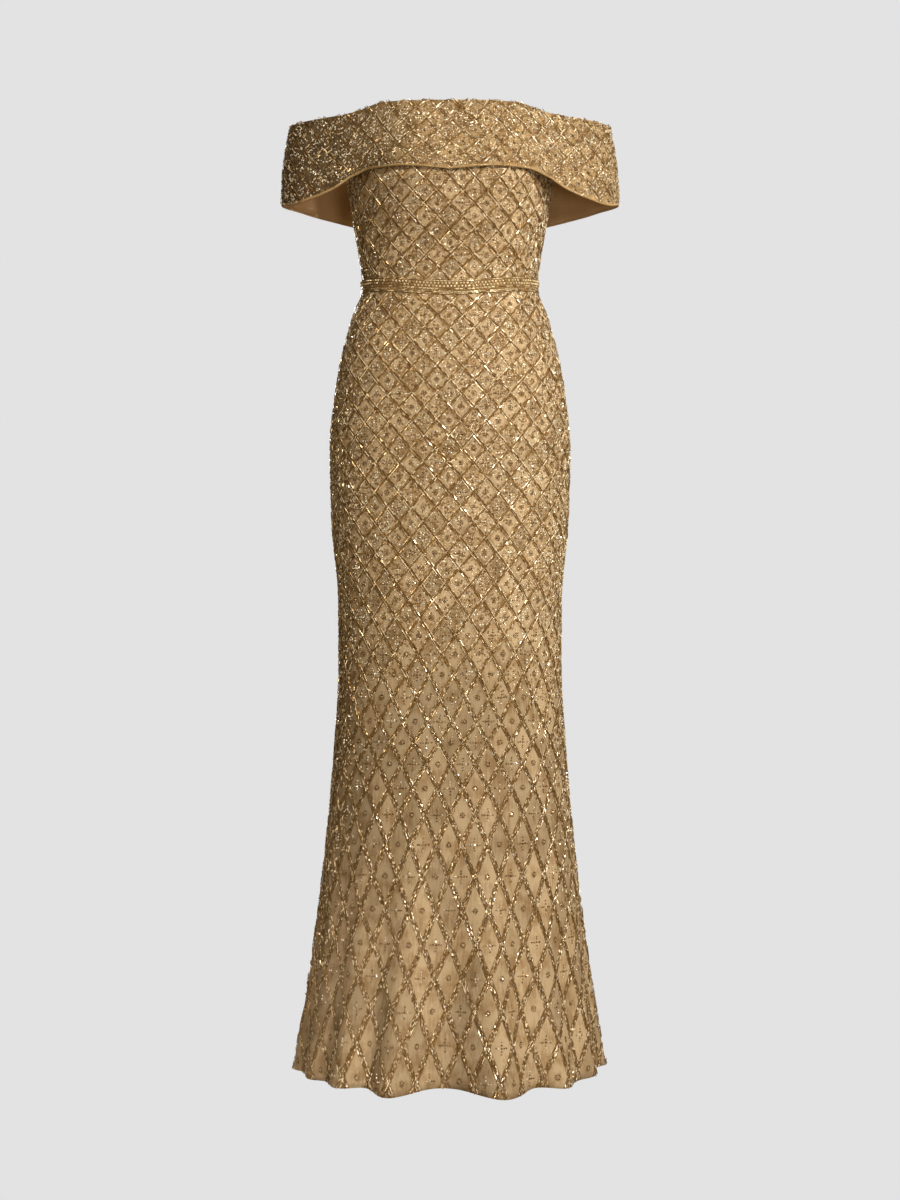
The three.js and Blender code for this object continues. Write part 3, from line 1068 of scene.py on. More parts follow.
@dataclass
class Beading:
    """Sews the trellis and its motifs on one half of the body, between two edges.

    Attributes:
        trellis: where the lines and motifs lie.
        top: height of the upper edge at an angle.
        bottom: height of the lower edge at an angle.
        strands: collects the beads of the lines.
        motifs: collects the beads in the cells.
        rng: random numbers for this piece.
        dense: share of the loose beads that are there.
        side_bugles: how many bugle beads are tried along the side seams.
    """

    trellis: Trellis
    top: Height
    bottom: Height
    strands: Beads
    motifs: Beads
    rng: Random
    dense: float = 1.0
    side_bugles: int = 3600

    def inside(self, turn: Array, z: Array, margin: float) -> Array:
        """Whether places lie on the piece, at least margin from its edges."""
        whole = turn + self.trellis.cut.value
        slack = np.degrees(min(margin, EDGE_GAP) / MEAN_RADIUS)
        return (
            (np.abs(turn) < 90 - slack)
            & (z < self.top(whole) - margin)
            & (z > self.bottom(whole) + margin)
        )

    def sew(self) -> None:
        """Sew everything on."""
        self.sew_lines()
        self.sew_motifs()
        self.sew_sides()

    def sew_lines(self) -> None:
        """Lay both families of lines, two to four strands of beads to a line."""
        low, high = self.trellis.v_grid.min(), self.trellis.v_grid.max()
        v = np.linspace(low, high, int((high - low) * 60) + 2)
        for family in (1, -1):
            for c in range(math.floor(low) - LINES_ASIDE, math.ceil(high) + LINES_ASIDE + 1):
                keep = np.abs(c - v) < LINES_ASIDE
                if keep.sum() > 3:
                    self.sew_line(v[keep], family, c)

    def sew_line(self, v: Array, family: int, c: int) -> None:
        """Lay one line of the trellis.

        Bugle beads give way to shorter ones on the way down, two more strands come in between
        the first two, and the strands part.

        Args:
            v: cells counted down, at close steps along the line.
            family: 1 or -1, the way in which the line slants.
            c: the whole number that names the line.
        """
        turn, z, point = self.trellis.place(family * (c - v), v)
        if not self.inside(turn, z, 0).any():
            return
        step = np.linalg.norm(np.diff(point, axis=0), axis=-1)
        middle = 0.5 * (z[1:] + z[:-1])
        for strand in (-1.5, -0.5, 0.5, 1.5):
            is_outer = abs(strand) > 1
            pitch = 5.6 - 2.4 * ease(-430, -640, middle)
            count = np.pad((step / pitch).cumsum(), (1, 0))
            beads = np.arange(0.5 + 0.3 * strand, count[-1], 1.0)
            at = np.interp(beads, count, v)
            at_turn, at_z, at_point = self.trellis.place(family * (c - at), at)
            keep = self.inside(at_turn, at_z, EDGE_GAP)
            if not is_outer:
                keep &= self.rng.uniform(size=len(at)) < ease(-420, -640, at_z)
            keep &= self.rng.uniform(size=len(at)) > 0.02
            at, at_turn, at_z, at_point = at[keep], at_turn[keep], at_z[keep], at_point[keep]
            if not len(at):
                continue
            ahead = self.trellis.place(family * (c - at - 0.01), at + 0.01)[2]
            axis = unit(ahead - at_point)
            normal = self.trellis.normal(at_turn, at_z)
            side = np.cross(normal, axis)
            n = len(at)
            lower = ease(-480, -700, at_z)
            apart = 1.15 + 0.55 * lower
            radius = 0.66 - 0.13 * lower + self.rng.normal(0, 0.05, n)
            offset = strand * apart + self.rng.normal(0, 0.1, n)
            lift = radius * 0.75 + 0.2 + self.rng.uniform(0, 0.9, n) * ease(58, 76, np.abs(at_turn))
            centre = at_point + side * offset[:, None] + normal * lift[:, None]
            axis = unit(
                axis
                + side * self.rng.normal(0, 0.05, n)[:, None]
                + normal * self.rng.normal(0, 0.04, n)[:, None]
            )
            long = np.interp(at_z, middle[::-1], pitch[::-1]) * self.rng.uniform(0.8, 0.95, n)
            pale = 0.36 - 0.14 * lower if is_outer else 0.09
            tone = glass_tones(self.rng, n, pale)
            tone = np.where(tone < 0.7, tone + lower * (0.1 - tone) * 0.65, tone)
            self.strands.add(centre, axis, normal, long, radius, tone)

    def sew_sides(self) -> None:
        """Scatter upright bugle beads along both side seams, fewer down the skirt."""
        n = int(self.side_bugles * self.dense)
        turn = self.rng.choice([-1.0, 1.0], n) * self.rng.uniform(50, 89.5, n)
        z = self.rng.uniform(-950, 240, n)
        share = ease(50, 76, np.abs(turn)) * (1 - 0.6 * ease(-700, -950, z))
        keep = self.inside(turn, z, 3.0) & (self.rng.uniform(size=n) < share)
        turn, z = turn[keep], z[keep]
        n = len(z)
        whole = turn + self.trellis.cut.value
        point = self.trellis.form.point(whole, z)
        axis = unit(self.trellis.form.point(whole, z - 3) - point)
        axis = unit(axis + self.rng.normal(0, 0.22, (n, 3)))
        normal = self.trellis.normal(turn, z)
        tone = glass_tones(self.rng, n, 0.5)
        long = self.rng.uniform(2.8, 5.0, n)
        self.strands.add(point + normal * 0.9, axis, normal, long, 0.6, tone)

    def spots(self, cross: bool, turn: Array, z: Array) -> tuple[Array, ...]:
        """Beads of many cells of one kind: place, size and tone, a row for each cell.

        A cross has two beads on each arm and a scatter of beads round it, and a ringed bead has
        eight beads round it and a thinner scatter. The scatter thins out down the skirt, last
        of all along the side seams.

        Args:
            cross: whether the cells hold a cross rather than a ringed bead.
            turn: angle of each cell from the middle of the cut.
            z: height of each cell.

        Returns:
            Place across, place down, size, tone and whether the bead is there.
        """
        rng, n = self.rng, len(z)
        upper = 1 - ease(-400, -640, z)
        upper = np.maximum(upper, 0.9 * ease(52, 72, np.abs(turn)) * (1 - ease(-700, -1000, z)))
        if cross:
            ends = [(0, 0)] + [(dx * a, 0) for dx in (1, -1) for a in (3.1, 5.8)]
            ends += [(0, dy * a) for dy in (1, -1) for a in (3.4, 6.4)]
            x, y = np.array(ends).T
            size = np.array([1.45] + [1.2, 1.1] * 4)
            tone = rng.choice([0.05, 0.15, 0.3, 0.5, 1.0], (n, 9), p=[0.1, 0.25, 0.25, 0.2, 0.2])
            scatter = 15
        else:
            x, y = ring_places()
            size = np.array([1.5] + [0.95] * 8)
            tone = rng.uniform(0.0, 0.45, (n, 9))
            tone[:, 0] = 0.2 + 0.4 * (1 - upper)
            scatter = 8
        a, b = rng.uniform(-1, 1, (2, n, scatter))
        x = np.concatenate([np.tile(x, (n, 1)), (a + b) * 6.4], axis=1)
        y = np.concatenate([np.tile(y, (n, 1)), (a - b) * 6.4], axis=1)
        size = size * (1.2 - 0.2 * upper)[:, None]
        proud = 1 + 0.4 * ease(56, 74, np.abs(turn))
        small = rng.uniform(0.75, 1.12, (n, scatter)) * proud[:, None]
        size = np.concatenate([size, small], axis=1)
        pale = glass_tones(rng, n * scatter, 0.5).reshape(n, scatter)
        tone = np.concatenate([tone, pale], axis=1)
        there = rng.uniform(size=(n, scatter)) < (upper * self.dense)[:, None]
        there = np.concatenate([np.ones((n, 9), bool), there], axis=1)
        return x, y, size, tone, there

    def sew_motifs(self) -> None:
        """Fill the cells: a ringed bead in every second slanting row, a cross in the others."""
        first, last = self.trellis.v_grid.min(), self.trellis.v_grid.max()
        low, high = math.floor(first) - 1, math.ceil(last) + 1
        span = (low - LINES_ASIDE, high + LINES_ASIDE + 1)
        u, v, kind = list_cells(span, low, high, 2 * LINES_ASIDE)
        turn, z, _ = self.trellis.place(u, v)
        keep = self.inside(turn, z, -12.0) & (v > first) & (v < last)
        u, v, turns, z, kind = u[keep], v[keep], turn[keep], z[keep], kind[keep]
        wide = read_table(self.trellis.rows, 2, z)
        tall = np.abs(self.trellis.z_of(v + 0.5) - self.trellis.z_of(v - 0.5))
        for cross in (True, False):
            pick = kind == int(cross)
            x, y, size, tone, there = self.spots(cross, turns[pick], z[pick])
            stretch = np.clip(tall[pick] / 36, 1, 1.25) if cross else np.ones(pick.sum())
            x = x * stretch[:, None] + self.rng.normal(0, 0.25, x.shape)
            y = y * stretch[:, None] + self.rng.normal(0, 0.25, y.shape)
            at_u = (u[pick][:, None] + x / wide[pick][:, None])[there]
            at_v = (v[pick][:, None] + y / tall[pick][:, None])[there]
            size, tone = size[there], tone[there]
            turn, at_z, point = self.trellis.place(at_u, at_v)
            keep = self.inside(turn, at_z, EDGE_GAP)
            point, size, tone = point[keep], size[keep], tone[keep]
            normal = self.trellis.normal(turn[keep], at_z[keep])
            self.motifs.add_round(point, normal, size, tone, 0.35, self.rng)


@dataclass
class BodyCloth:
    """The panels of the bodice and the skirt.

    Attributes:
        ground: material of the outer face.
        lining: material of the inner face.
        bodice: the trellis of each half of the bodice.
        skirt: the trellis of each half of the skirt.
        thickness: of the wall.
        seam: gap between two panels.
    """

    form: GownForm
    collar: CollarForm
    ground: Material
    lining: Material
    bodice: dict[Cut, Trellis]
    skirt: dict[Cut, Trellis]
    thickness: float = 2.0
    seam: float = 0.16

    def panel(
        self,
        node: str,
        trellis: Trellis,
        span: tuple[float, float],
        top: Height,
        bottom: Height,
        size: tuple[int, int],
    ) -> None:
        """Make one panel between two seams as a thin wall on the gown's form.

        Args:
            node: the solid that it stands for.
            trellis: the trellis sewn on it.
            span: angles of its seams.
            top: height of the upper edge at an angle.
            bottom: height of the lower edge at an angle.
            size: columns and rows of its grid.
        """
        columns, rows = size
        u, v = np.meshgrid(np.linspace(0, 1, columns + 1), np.linspace(0, 1, rows + 1))
        rough = span[0] + (span[1] - span[0]) * u
        z = (1 - v) * top(rough) + v * bottom(rough)
        gap = np.degrees(self.seam / 2 / self.form.radius(rough, z))
        turn = span[0] + gap + (span[1] - span[0] - 2 * gap) * u
        outer = self.form.point(turn, z)
        inner = outer - self.form.normal(turn, z) * self.thickness
        materials = self.ground, self.lining
        mesh = wall_mesh(node + "_cloth", outer, inner, materials, trellis.count(turn, z))
        add_cloth(node, "_cloth", mesh)

    def make(self) -> None:
        """Make all six panels."""
        waist, hem = self.form.waist_z, self.form.hem_edge
        top = lambda turn: self.form.bodice_top(turn, self.collar)
        over = lambda turn: waist(turn) + WAIST_GAP
        under = lambda turn: waist(turn) - WAIST_GAP
        for name, cut, span in PANELS:
            columns = 124 if cut is Cut.FRONT else 62
            bodice, skirt = self.bodice[cut], self.skirt[cut]
            size = (columns * 3 // 5, 44)
            self.panel("bodice_" + name, bodice, span, top, over, size)
            self.panel("skirt_" + name, skirt, span, under, hem, (columns, 96))


@dataclass
class CollarCloth:
    """The collar, its plain margin, its facing and its beads.

    Attributes:
        ground: material of the beaded cloth.
        edge: material of its plain margin.
        lining: material of its inner face and of the facing.
        thickness: of the collar's wall.
        facing_space: between the collar and its facing.
        facing_thickness: of the facing.
        cell: width and height of a cell of its trellis.
        margin: from the collar's edge to its beads.
        first_line: where the middle of a cell lies, down from the fold.
        pitch: from bead to bead on a line.
        apart: from a line to each of its two strands.
        loose: how many loose bugle beads are tried in a cell.
    """

    collar: CollarForm
    ground: Material
    edge: Material
    lining: Material
    thickness: float = 1.6
    facing_space: float = 0.5
    facing_thickness: float = 1.2
    cell: float = 34.0
    margin: float = 3.0
    first_line: float = 77.0
    pitch: float = 5.0
    apart: float = 1.75
    loose: int = 6

    def __post_init__(self) -> None:
        """Measure the length along the collar, from the middle of each half."""
        self.turns = np.linspace(-92, 92, 921)
        self.length = {}
        for cut in Cut:
            middle = self.collar.face(self.turns + cut.value, np.full(len(self.turns), 0.4))
            steps = np.linalg.norm(np.diff(middle, axis=0), axis=-1)
            length = np.pad(steps.cumsum(), (1, 0))
            self.length[cut] = length - length[len(self.turns) // 2]

    def fall(self, turn: Array) -> Array:
        """Length of the collar's face at an angle, from the fold's foot to the edge."""
        return (self.collar.top_z(turn) - self.collar.roll - self.collar.hem_z(turn)) * 1.02

    def count(self, cut: Cut, turn: Array, share: Array) -> Array:
        """How many lines of each family lie before a point of the collar and its fold."""
        bend = np.pi * np.clip(1 - share / FOLD_SHARE, 0, 1)
        down = np.maximum(0, (share - FOLD_SHARE) / (1 - FOLD_SHARE))
        d = down * self.fall(turn) - bend * self.collar.roll
        v = (d - self.first_line) / self.cell + 0.5
        u = np.interp(angle_between(cut.value, turn), self.turns, self.length[cut]) / self.cell
        return np.stack([u + v, u - v], axis=-1)

    def half(
        self, node: str, cut: Cut, span: tuple[float, float], columns: int, facing: bool
    ) -> None:
        """Make one piece of the collar or of its facing.

        Args:
            node: the solid that it stands for.
            cut: the half of the gown that it belongs to.
            span: angles of its seams.
            columns: columns of its grid.
            facing: whether it is the plain cloth behind.
        """
        surface = self.collar.face if facing else self.collar.rolled
        fold, flap = np.linspace(0, FOLD_SHARE, 8), np.linspace(FOLD_SHARE, 0.97, 20)[1:]
        shares = (
            np.linspace(0.004, 0.985, 14) if facing else np.concatenate([fold, flap, [0.985, 1]])
        )
        u, v = np.meshgrid(np.linspace(0, 1, columns + 1), shares)
        turn = span[0] + COLLAR_SEAM + (span[1] - span[0] - 2 * COLLAR_SEAM) * u
        normal = normal_of(surface, turn, v, COLLAR_STEP)
        near = self.thickness + self.facing_space if facing else 0.0
        far = near + (self.facing_thickness if facing else self.thickness)
        face = surface(turn, v)
        outer, inner = face - normal * near, face - normal * far
        counts = None if facing else self.count(cut, turn, v)
        plain, beaded = (self.lining, self.lining), (self.ground, self.lining, self.edge)
        mesh = wall_mesh(node + "_cloth", outer, inner, plain if facing else beaded, counts)
        if not facing:
            rows = len(shares) - 1
            index = np.empty(len(mesh.polygons), dtype=np.int32)
            mesh.polygons.foreach_get("material_index", index)
            index[(rows - 2) * columns : rows * columns] = 2
            index[2 * rows * columns + columns : 2 * rows * columns + 2 * columns] = 2
            mesh.polygons.foreach_set("material_index", index)
        add_cloth(node, "_cloth", mesh)

    def make(self) -> None:
        """Make the three pieces of the collar and the three of its facing."""
        for name, cut, span in PANELS:
            columns = 150 if cut is Cut.FRONT else 70
            self.half("collar_" + name, cut, span, columns, False)
            self.half("collar_facing_" + name, cut, span, columns, True)

    def place(self, cut: Cut, u: Array, v: Array, margin: float) -> tuple[Array, Array, Array]:
        """Point, normal and whether it is on the collar, from a place in the trellis."""
        along = u * self.cell
        turn = np.interp(along, self.length[cut], self.turns, -OFF_COLLAR, OFF_COLLAR)
        whole = np.clip(turn, -90, 90) + cut.value
        d = (v - 0.5) * self.cell + self.first_line
        fall = self.fall(whole)
        over = np.clip(1 + d / (np.pi * self.collar.roll), 0, 1) * FOLD_SHARE
        share = np.where(d < 0, over, FOLD_SHARE + (1 - FOLD_SHARE) * np.clip(d / fall, 0, 1))
        point = self.collar.rolled(whole, share)
        normal = normal_of(self.collar.rolled, whole, share, COLLAR_STEP)
        inside = (np.abs(turn) < 89.6) & (d > -5.5) & (d < fall - margin)
        return point, normal, inside

    def bead(self, cut: Cut, strands: Beads, motifs: Beads, rng: Random) -> None:
        """Sew the trellis and its motifs on one half of the collar, along its own length.

        Args:
            cut: the front or the back half.
            strands: collects the beads of the lines.
            motifs: collects the beads in the cells.
            rng: random numbers.
        """
        reach = int(self.length[cut][-1] / self.cell) + 2
        v_low, v_high = ((d - self.first_line) / self.cell + 0.5 for d in (-6, 150))
        v = np.linspace(v_low, v_high, 260)
        for family in (1, -1):
            for c in range(-reach - 6, reach + 7):
                point = self.place(cut, family * (c - v), v, 0)[0]
                step = np.linalg.norm(np.diff(point, axis=0), axis=-1)
                count = np.pad((step / self.pitch).cumsum(), (1, 0))
                for strand in (-1, 1):
                    where = np.interp(np.arange(0.5 + 0.3 * strand, count[-1]), count, v)
                    self.sew(cut, strands, family, c, where, strand * self.apart, rng)
        u, v, kind = list_cells((-2 * reach, 2 * reach), v_low, v_high, 2 * reach)
        for cross in (True, False):
            pick = kind == int(cross)
            x, y, size, tone = self.cell_beads(cross, int(pick.sum()), rng)
            p, normal, inside = self.place(
                cut, u[pick][:, None] + x / self.cell, v[pick][:, None] + y / self.cell, self.margin
            )
            p, normal, size, tone = p[inside], normal[inside], size[inside], tone[inside]
            # Painted shade: towards -X the beads turn darker, over the collar's left side.
            left = ease(-40, -170, p[:, 0])
            tone = np.where(rng.uniform(size=len(p)) < 0.35 * left, 0.1, tone)
            tone = np.where(tone < 0.7, tone * (1 - 0.6 * left), tone)
            motifs.add_round(p, normal, size, tone, 0.4, rng)
        self.scatter_bugles(cut, strands, u, v, rng)

    def sew(
        self, cut: Cut, strands: Beads, family: int, c: int, v: Array, offset: float, rng: Random
    ) -> None:
        """Lay one strand of bugle beads on a line of the trellis.

        Args:
            cut: the half of the collar.
            strands: collects the beads.
            family: 1 or -1, the way in which the line slants.
            c: the whole number that names the line.
            v: where the beads' middles lie.
            offset: how far the strand lies beside the line.
            rng: random numbers.
        """
        p, normal, inside = self.place(cut, family * (c - v), v, self.margin)
        inside &= rng.uniform(size=len(v)) > 0.06 + 0.24 * ease(-40, -170, p[:, 0])
        ahead = self.place(cut, family * (c - v - 0.01), v + 0.01, 0)[0]
        p, normal, ahead = p[inside], normal[inside], ahead[inside]
        n = len(p)
        if n:
            axis = unit(ahead - p)
            side = np.cross(normal, axis)
            centre = p + side * (offset + rng.normal(0, 0.3, n))[:, None] + normal * 0.65
            aside, out = rng.normal(0, 0.13, n)[:, None], rng.normal(0, 0.06, n)[:, None]
            axis = unit(axis + side * aside + normal * out)
            # Painted shade: towards -X fewer beads are pale and the others darker.
            left = ease(-40, -170, p[:, 0])
            tone = glass_tones(rng, n, 0.34 - 0.24 * left)
            tone = np.where(tone < 0.7, tone * (1 - 0.5 * left), tone)
            long = self.pitch * rng.uniform(0.75, 0.95, n)
            strands.add(centre, axis, normal, long, 0.66, tone)

    def scatter_bugles(self, cut: Cut, strands: Beads, u: Array, v: Array, rng: Random) -> None:
        """Lay loose bugle beads in the cells, each along one of the trellis's two ways.

        Args:
            cut: the half of the collar.
            strands: collects the beads.
            u: middles of the cells, along the collar.
            v: middles of the cells, down the collar.
            rng: random numbers.
        """
        n = self.loose * len(u)
        u, v = (np.repeat(a, self.loose) + rng.uniform(-0.35, 0.35, n) for a in (u, v))
        p, normal, inside = self.place(cut, u, v, self.margin + 2)
        way = rng.choice([-1.0, 1.0], len(u))
        ahead = self.place(cut, u + 0.02 * way, v + 0.02, 0)[0]
        axis = unit(ahead - p + rng.normal(0, 0.1, p.shape))
        p, normal, axis = p[inside], normal[inside], axis[inside]
        n = len(p)
        long = rng.uniform(2.6, 4.6, n)
        strands.add(p + normal * 0.8, axis, normal, long, 0.6, glass_tones(rng, n, 0.6))

    @staticmethod
    def cell_beads(cross: bool, n: int, rng: Random) -> tuple[Array, ...]:
        """Places, sizes and tones of the beads in n cells of one kind, a row for each cell."""
        count = 32 if cross else 27
        a, b = rng.uniform(-1, 1, (2, n, count))
        x, y = (a + b) * 7.2, (a - b) * 7.2
        size = rng.uniform(0.75, 1.15, (n, count))
        tone = glass_tones(rng, n * count, 0.62).reshape(n, count)
        if not cross:
            x[:, :9], y[:, :9] = ring_places()
            size[:, :9] = [1.5] + [0.85] * 8
            tone[:, 0] = 0.1
        return x, y, size, tone


@dataclass
class WaistBand:
    """A narrow tape over the waist seam with its rows of beads.

    Attributes:
        ground: material of the tape's outer face.
        lining: material of its inner face.
        height: how tall the tape is.
        off: how far it lies off the cloth.
        rows: distance down, bead radius, bead spacing and whether the bead is a tube.
    """

    form: GownForm
    ground: Material
    lining: Material
    height: float = 20
    off: float = 0.65
    rows: tuple[tuple[float, float, float, bool], ...] = (
        (0.9, 0.6, 5.2, True),
        (4.4, 1.85, 5.0, False),
        (8.6, 1.85, 5.0, False),
        (12.4, 0.85, 5.6, True),
        (15.0, 0.75, 3.4, False),
        (16.9, 0.6, 5.6, True),
        (19.0, 0.6, 5.0, True),
    )

    def level(self, turn: Array, down: Array) -> Array:
        """Height of a place on the tape, from its distance down the tape."""
        return self.form.waist_z(turn) + self.height / 2 - down

    def make_tape(self) -> None:
        """Make the tape, open at the centre back."""
        across, rows = np.linspace(-179.95, 179.95, 241), np.linspace(0, self.height, 17)
        turn, down = np.meshgrid(across, rows)
        z = self.level(turn, down)
        face = self.form.point(turn, z)
        normal = self.form.normal(turn, z)
        swell = 0.7 + 0.5 * np.sin(np.pi * down / self.height) ** 0.5
        outer, inner = face + normal * (self.off + swell)[..., None], face + normal * self.off
        mesh = wall_mesh("waist_band_tape", outer, inner, (self.ground, self.lining))
        add_cloth("waist_band", "_tape", mesh)

    def bead(self, tubes: Beads, rounds: Beads, rng: Random) -> None:
        """Sew the rows of beads round the tape.

        Args:
            tubes: collects the tube beads.
            rounds: collects the round beads.
            rng: random numbers.
        """
        fine = np.linspace(-179.7, 179.7, 2400)
        for row, (down, radius, pitch, is_tube) in enumerate(self.rows):
            line = self.form.point(fine, self.level(fine, down))
            length = np.pad(np.linalg.norm(np.diff(line, axis=0), axis=-1).cumsum(), (1, 0))
            turn = np.interp(np.arange((row % 2) * pitch / 2, length[-1], pitch), length, fine)
            z = self.level(turn, down) + rng.normal(0, 0.12, len(turn))
            point = self.form.point(turn, z)
            normal = self.form.normal(turn, z)
            axis = unit(self.form.point(turn + 0.3, z) - point)
            centre = point + normal * (self.off + 1.0 + radius * 0.7)
            n = len(turn)
            shine = 0.9 if radius > 1 else 0.6 if is_tube else 0.2
            # Painted shade: towards -X fewer of the trim's beads are pale.
            tone = glass_tones(rng, n, shine * (1 - 0.55 * ease(-10, -60, turn)))
            if is_tube:
                tubes.add(centre, axis, normal, pitch * 0.82, radius, tone)
            else:
                tilt = unit(normal + rng.normal(0, 0.2, (n, 3)))
                rounds.add(centre, tilt, axis, radius * 1.9, radius, tone)


@dataclass
class BackZip:
    """The closed concealed zip: its tapes and its coil, inside the centre back seam.

    Attributes:
        tape: material of the tapes.
        top: height of its upper end.
        end: height of its lower end.
        half_width: half the width of both tapes together.
        depth: how far the tapes lie behind the gown's outer face.
    """

    form: GownForm
    tape: Material
    top: float = 214
    end: float = -180
    half_width: float = 11
    depth: float = 2.6

    def make(self) -> None:
        """Make the tapes as one strip."""
        reach = np.degrees(self.half_width / float(self.form.radius(180.0, 0.0)))
        across = 180 + np.linspace(-reach, reach, 9)
        turn, z = np.meshgrid(across, np.linspace(self.top, self.end, 90))
        face = self.form.point(turn, z)
        normal = self.form.normal(turn, z)
        outer, inner = face - normal * self.depth, face - normal * (self.depth + 0.6)
        mesh = wall_mesh("back_zip_tape", outer, inner, (self.tape, self.tape))
        add_cloth("back_zip", "_tape", mesh)

    def bead(self, coil: Beads) -> None:
        """Lay the coil's turns down the middle of the tapes.

        Args:
            coil: collects the turns.
        """
        z = np.arange(self.top - 3, self.end + 3, -1.6)
        for side in (-1, 1):
            turn = np.full(len(z), 180.0 + side * 0.5)
            face = self.form.point(turn, z)
            normal = self.form.normal(turn, z)
            axis = unit(self.form.point(turn + 0.3, z) - face) + np.array([0, 0, 0.25 * side])
            coil.add(face - normal * (self.depth + 1.1), unit(axis), -normal, 2.6, 0.55, 0.5)


@dataclass
class Studio:
    """The camera, the lights and the pale floor.

    Attributes:
        distance: from the camera to the gown's side seams, in metres.
        eye: height of the camera, in metres.
        lens: focal length in millimetres, for 36 mm along the picture's long side.
        floor: height of the floor, in metres.
        pale: colour of the floor and the background.
        ambient: strength of the even light from all round.
    """

    distance: float = 3.5
    eye: float = -0.441
    lens: float = 74.47
    floor: float = -1.115
    pale: float = 0.766
    ambient: float = 0.23

    def make_camera(self) -> None:
        """Place the camera level in front of the gown."""
        data = bpy.data.cameras.new("camera")
        data.sensor_width = 36
        data.sensor_fit = "AUTO"
        data.lens = self.lens
        data.clip_start, data.clip_end = 0.05, 60
        camera = bpy.data.objects.new("camera", data)
        bpy.context.scene.collection.objects.link(camera)
        camera.location = (0, -self.distance, self.eye)
        camera.rotation_euler = (math.pi / 2, 0, 0)
        bpy.context.scene.camera = camera

    def make_light(
        self,
        name: str,
        place: Vec3,
        aim: Vec3,
        size: float,
        power: float,
        gloss_only: bool = False,
        spread: float = 180,
    ) -> None:
        """Add a soft square light that looks at a point, or one that only makes highlights."""
        data = bpy.data.lights.new(name, "AREA")
        data.shape = "SQUARE"
        data.size = size
        data.energy = power
        data.spread = math.radians(spread)
        lamp = bpy.data.objects.new(name, data)
        bpy.context.scene.collection.objects.link(lamp)
        lamp.location = place
        lamp.rotation_euler = (Vector(aim) - Vector(place)).to_track_quat("-Z", "Y").to_euler()
        if gloss_only:
            lamp.visible_diffuse = False
            data.color = (1.0, 0.8, 0.52)

    def make_ground(self) -> None:
        """Add the floor and the even background."""
        material = bpy.data.materials.new("floor")
        material.use_nodes = True
        nodes, links = material.node_tree.nodes, material.node_tree.links
        nodes.remove(nodes["Principled BSDF"])
        glow = nodes.new("ShaderNodeEmission")
        glow.inputs["Color"].default_value = (self.pale, self.pale, self.pale, 1)
        links.new(glow.outputs["Emission"], nodes["Material Output"].inputs["Surface"])
        reach = 20 / MM
        z = self.floor / MM
        corners = ((-reach, -reach), (reach, -reach), (reach, reach), (-reach, reach))
        points = np.array([(x, y, z) for x, y in corners])
        mesh = mesh_from("floor", points, np.array([[0, 1, 2, 3]]))
        mesh.materials.append(material)
        floor = new_object("floor", mesh)
        floor.visible_diffuse = floor.visible_glossy = False
        world = bpy.data.worlds.new("studio")
        bpy.context.scene.world = world
        world.use_nodes = True
        nodes, links = world.node_tree.nodes, world.node_tree.links
        seen, soft = nodes["Background"], nodes.new("ShaderNodeBackground")
        seen.inputs["Color"].default_value = (self.pale, self.pale, self.pale, 1)
        soft.inputs["Color"].default_value = (1, 0.83, 0.57, 1)
        soft.inputs["Strength"].default_value = self.ambient
        path, mix = nodes.new("ShaderNodeLightPath"), nodes.new("ShaderNodeMixShader")
        links.new(path.outputs["Is Camera Ray"], mix.inputs["Fac"])
        links.new(soft.outputs["Background"], mix.inputs[1])
        links.new(seen.outputs["Background"], mix.inputs[2])
        links.new(mix.outputs["Shader"], nodes["World Output"].inputs["Surface"])
        bpy.context.scene.view_settings.view_transform = "Standard"

    def make(self) -> None:
        """Set up the whole studio."""
        self.make_camera()
        self.make_ground()
        self.make_light("key", (3.1, -5.4, 2.4), (0, 0, -0.4), 1.2, 418)
        self.make_light("side", (4.8, -1.2, 0.7), (0, 0, 0.1), 1.2, 46)
        self.make_light("low", (1.2, -4.4, -0.95), (0, 0, 0), 0.9, 36)
        self.make_light("hem", (-1.9, -2.2, -0.9), (-0.24, -0.02, -1.04), 0.4, 0.22, spread=12)
        self.make_light("bodice", (2.1, -4.1, 0.3), (0, 0, 0.05), 0.4, 0.26, spread=12)
        self.make_light("behind", (-1.0, 4.2, 0.7), (0, 0, -0.4), 1.4, 150)
        self.make_light("glint", (-3.2, -2.4, 0.8), (0, 0, -0.4), 1.0, 95, True)


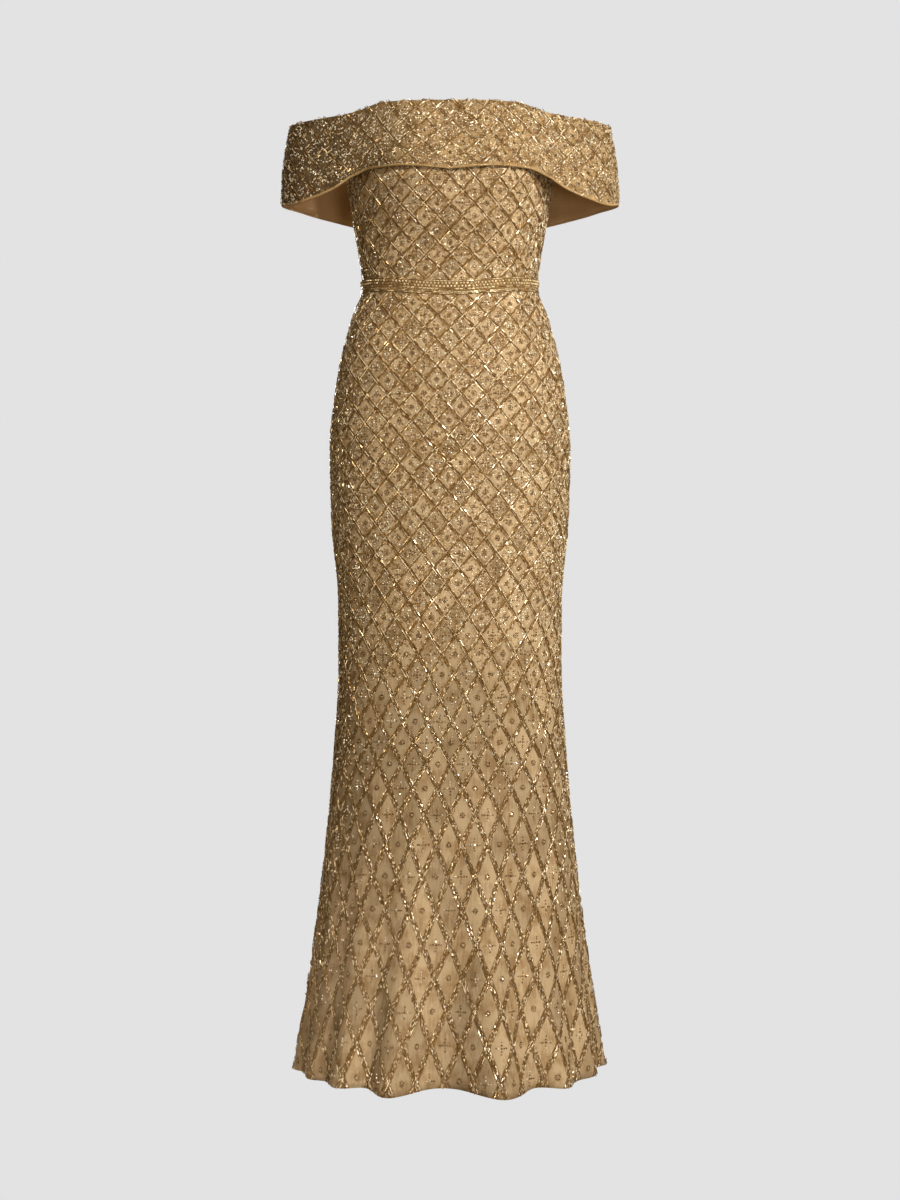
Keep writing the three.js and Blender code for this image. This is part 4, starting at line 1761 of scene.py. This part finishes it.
def main() -> None:
    """Build the gown and the studio."""
    logging.basicConfig(level=logging.INFO, format="%(name)s %(message)s")
    Studio().make()
    form = GownForm()
    collar = CollarForm(form)
    ground, lining = GROUND.make(), LINING.make()
    bodice_trellis = {cut: Trellis(form, cut, BODICE_ROWS) for cut in Cut}
    skirt_trellis = {cut: Trellis(form, cut, SKIRT_ROWS) for cut in Cut}
    BodyCloth(form, collar, ground, lining, bodice_trellis, skirt_trellis).make()
    collar_cloth = CollarCloth(collar, THICK.make(), HEMMED.make(), lining)
    collar_cloth.make()
    band = WaistBand(form, BAND.make(), lining)
    band.make_tape()
    back_zip = BackZip(form, TAPE.make())
    back_zip.make()

    strand_glass, motif_glass, trim_glass = STRAND.make(), MOTIF.make(), TRIM.make()
    gathered: list[Beads] = []

    def gather(name: str, glass: Material, slot: str, is_tube: bool) -> Beads:
        beads = Beads(name, glass, slot, is_tube, seed=len(gathered) + 11)
        gathered.append(beads)
        return beads

    def pair(name: str) -> tuple[Beads, Beads]:
        return (
            gather(name + "_strands", strand_glass, "beaded_cloth", True),
            gather(name + "_motifs", motif_glass, "beaded_cloth", False),
        )

    bodice_top = lambda turn: form.bodice_top(turn, collar)
    over_waist = lambda turn: form.waist_z(turn) + BAND_REACH
    under_waist = lambda turn: form.waist_z(turn) - BAND_REACH
    upper_end = lambda turn: np.full(np.shape(turn), SKIRT_SPLIT - EDGE_GAP)
    lower_top = lambda turn: np.full(np.shape(turn), SKIRT_SPLIT + EDGE_GAP)
    for cut, side, dense in ((Cut.FRONT, "front", 1.0), (Cut.BACK, "back", 0.6)):
        rng = np.random.default_rng(101 + cut.value)
        bodice, skirt = bodice_trellis[cut], skirt_trellis[cut]
        for name, trellis, top, bottom in (
            (f"bodice_{side}", bodice, bodice_top, over_waist),
            (f"skirt_{side}_upper", skirt, under_waist, upper_end),
            (f"skirt_{side}_lower", skirt, lower_top, form.hem_edge),
        ):
            Beading(trellis, top, bottom, *pair(name), rng, dense).sew()
        collar_cloth.bead(cut, *pair(f"collar_{side}"), rng)
    tubes = gather("waist_band_tubes", trim_glass, "waist_trim", True)
    rounds = gather("waist_band_rounds", trim_glass, "waist_trim", False)
    band.bead(tubes, rounds, np.random.default_rng(7))
    coil = gather("back_zip_coil", COIL.make(), "zip_tape", True)
    back_zip.bead(coil)
    for beads in gathered:
        beads.make()
    total = 0
    for piece in bpy.data.objects:
        if piece.type == "MESH" and not piece.hide_render:
            total += sum(len(face.vertices) - 2 for face in piece.data.polygons)
    log.info("all pieces: %d triangles", total)


if __name__ == "__main__":
    main()
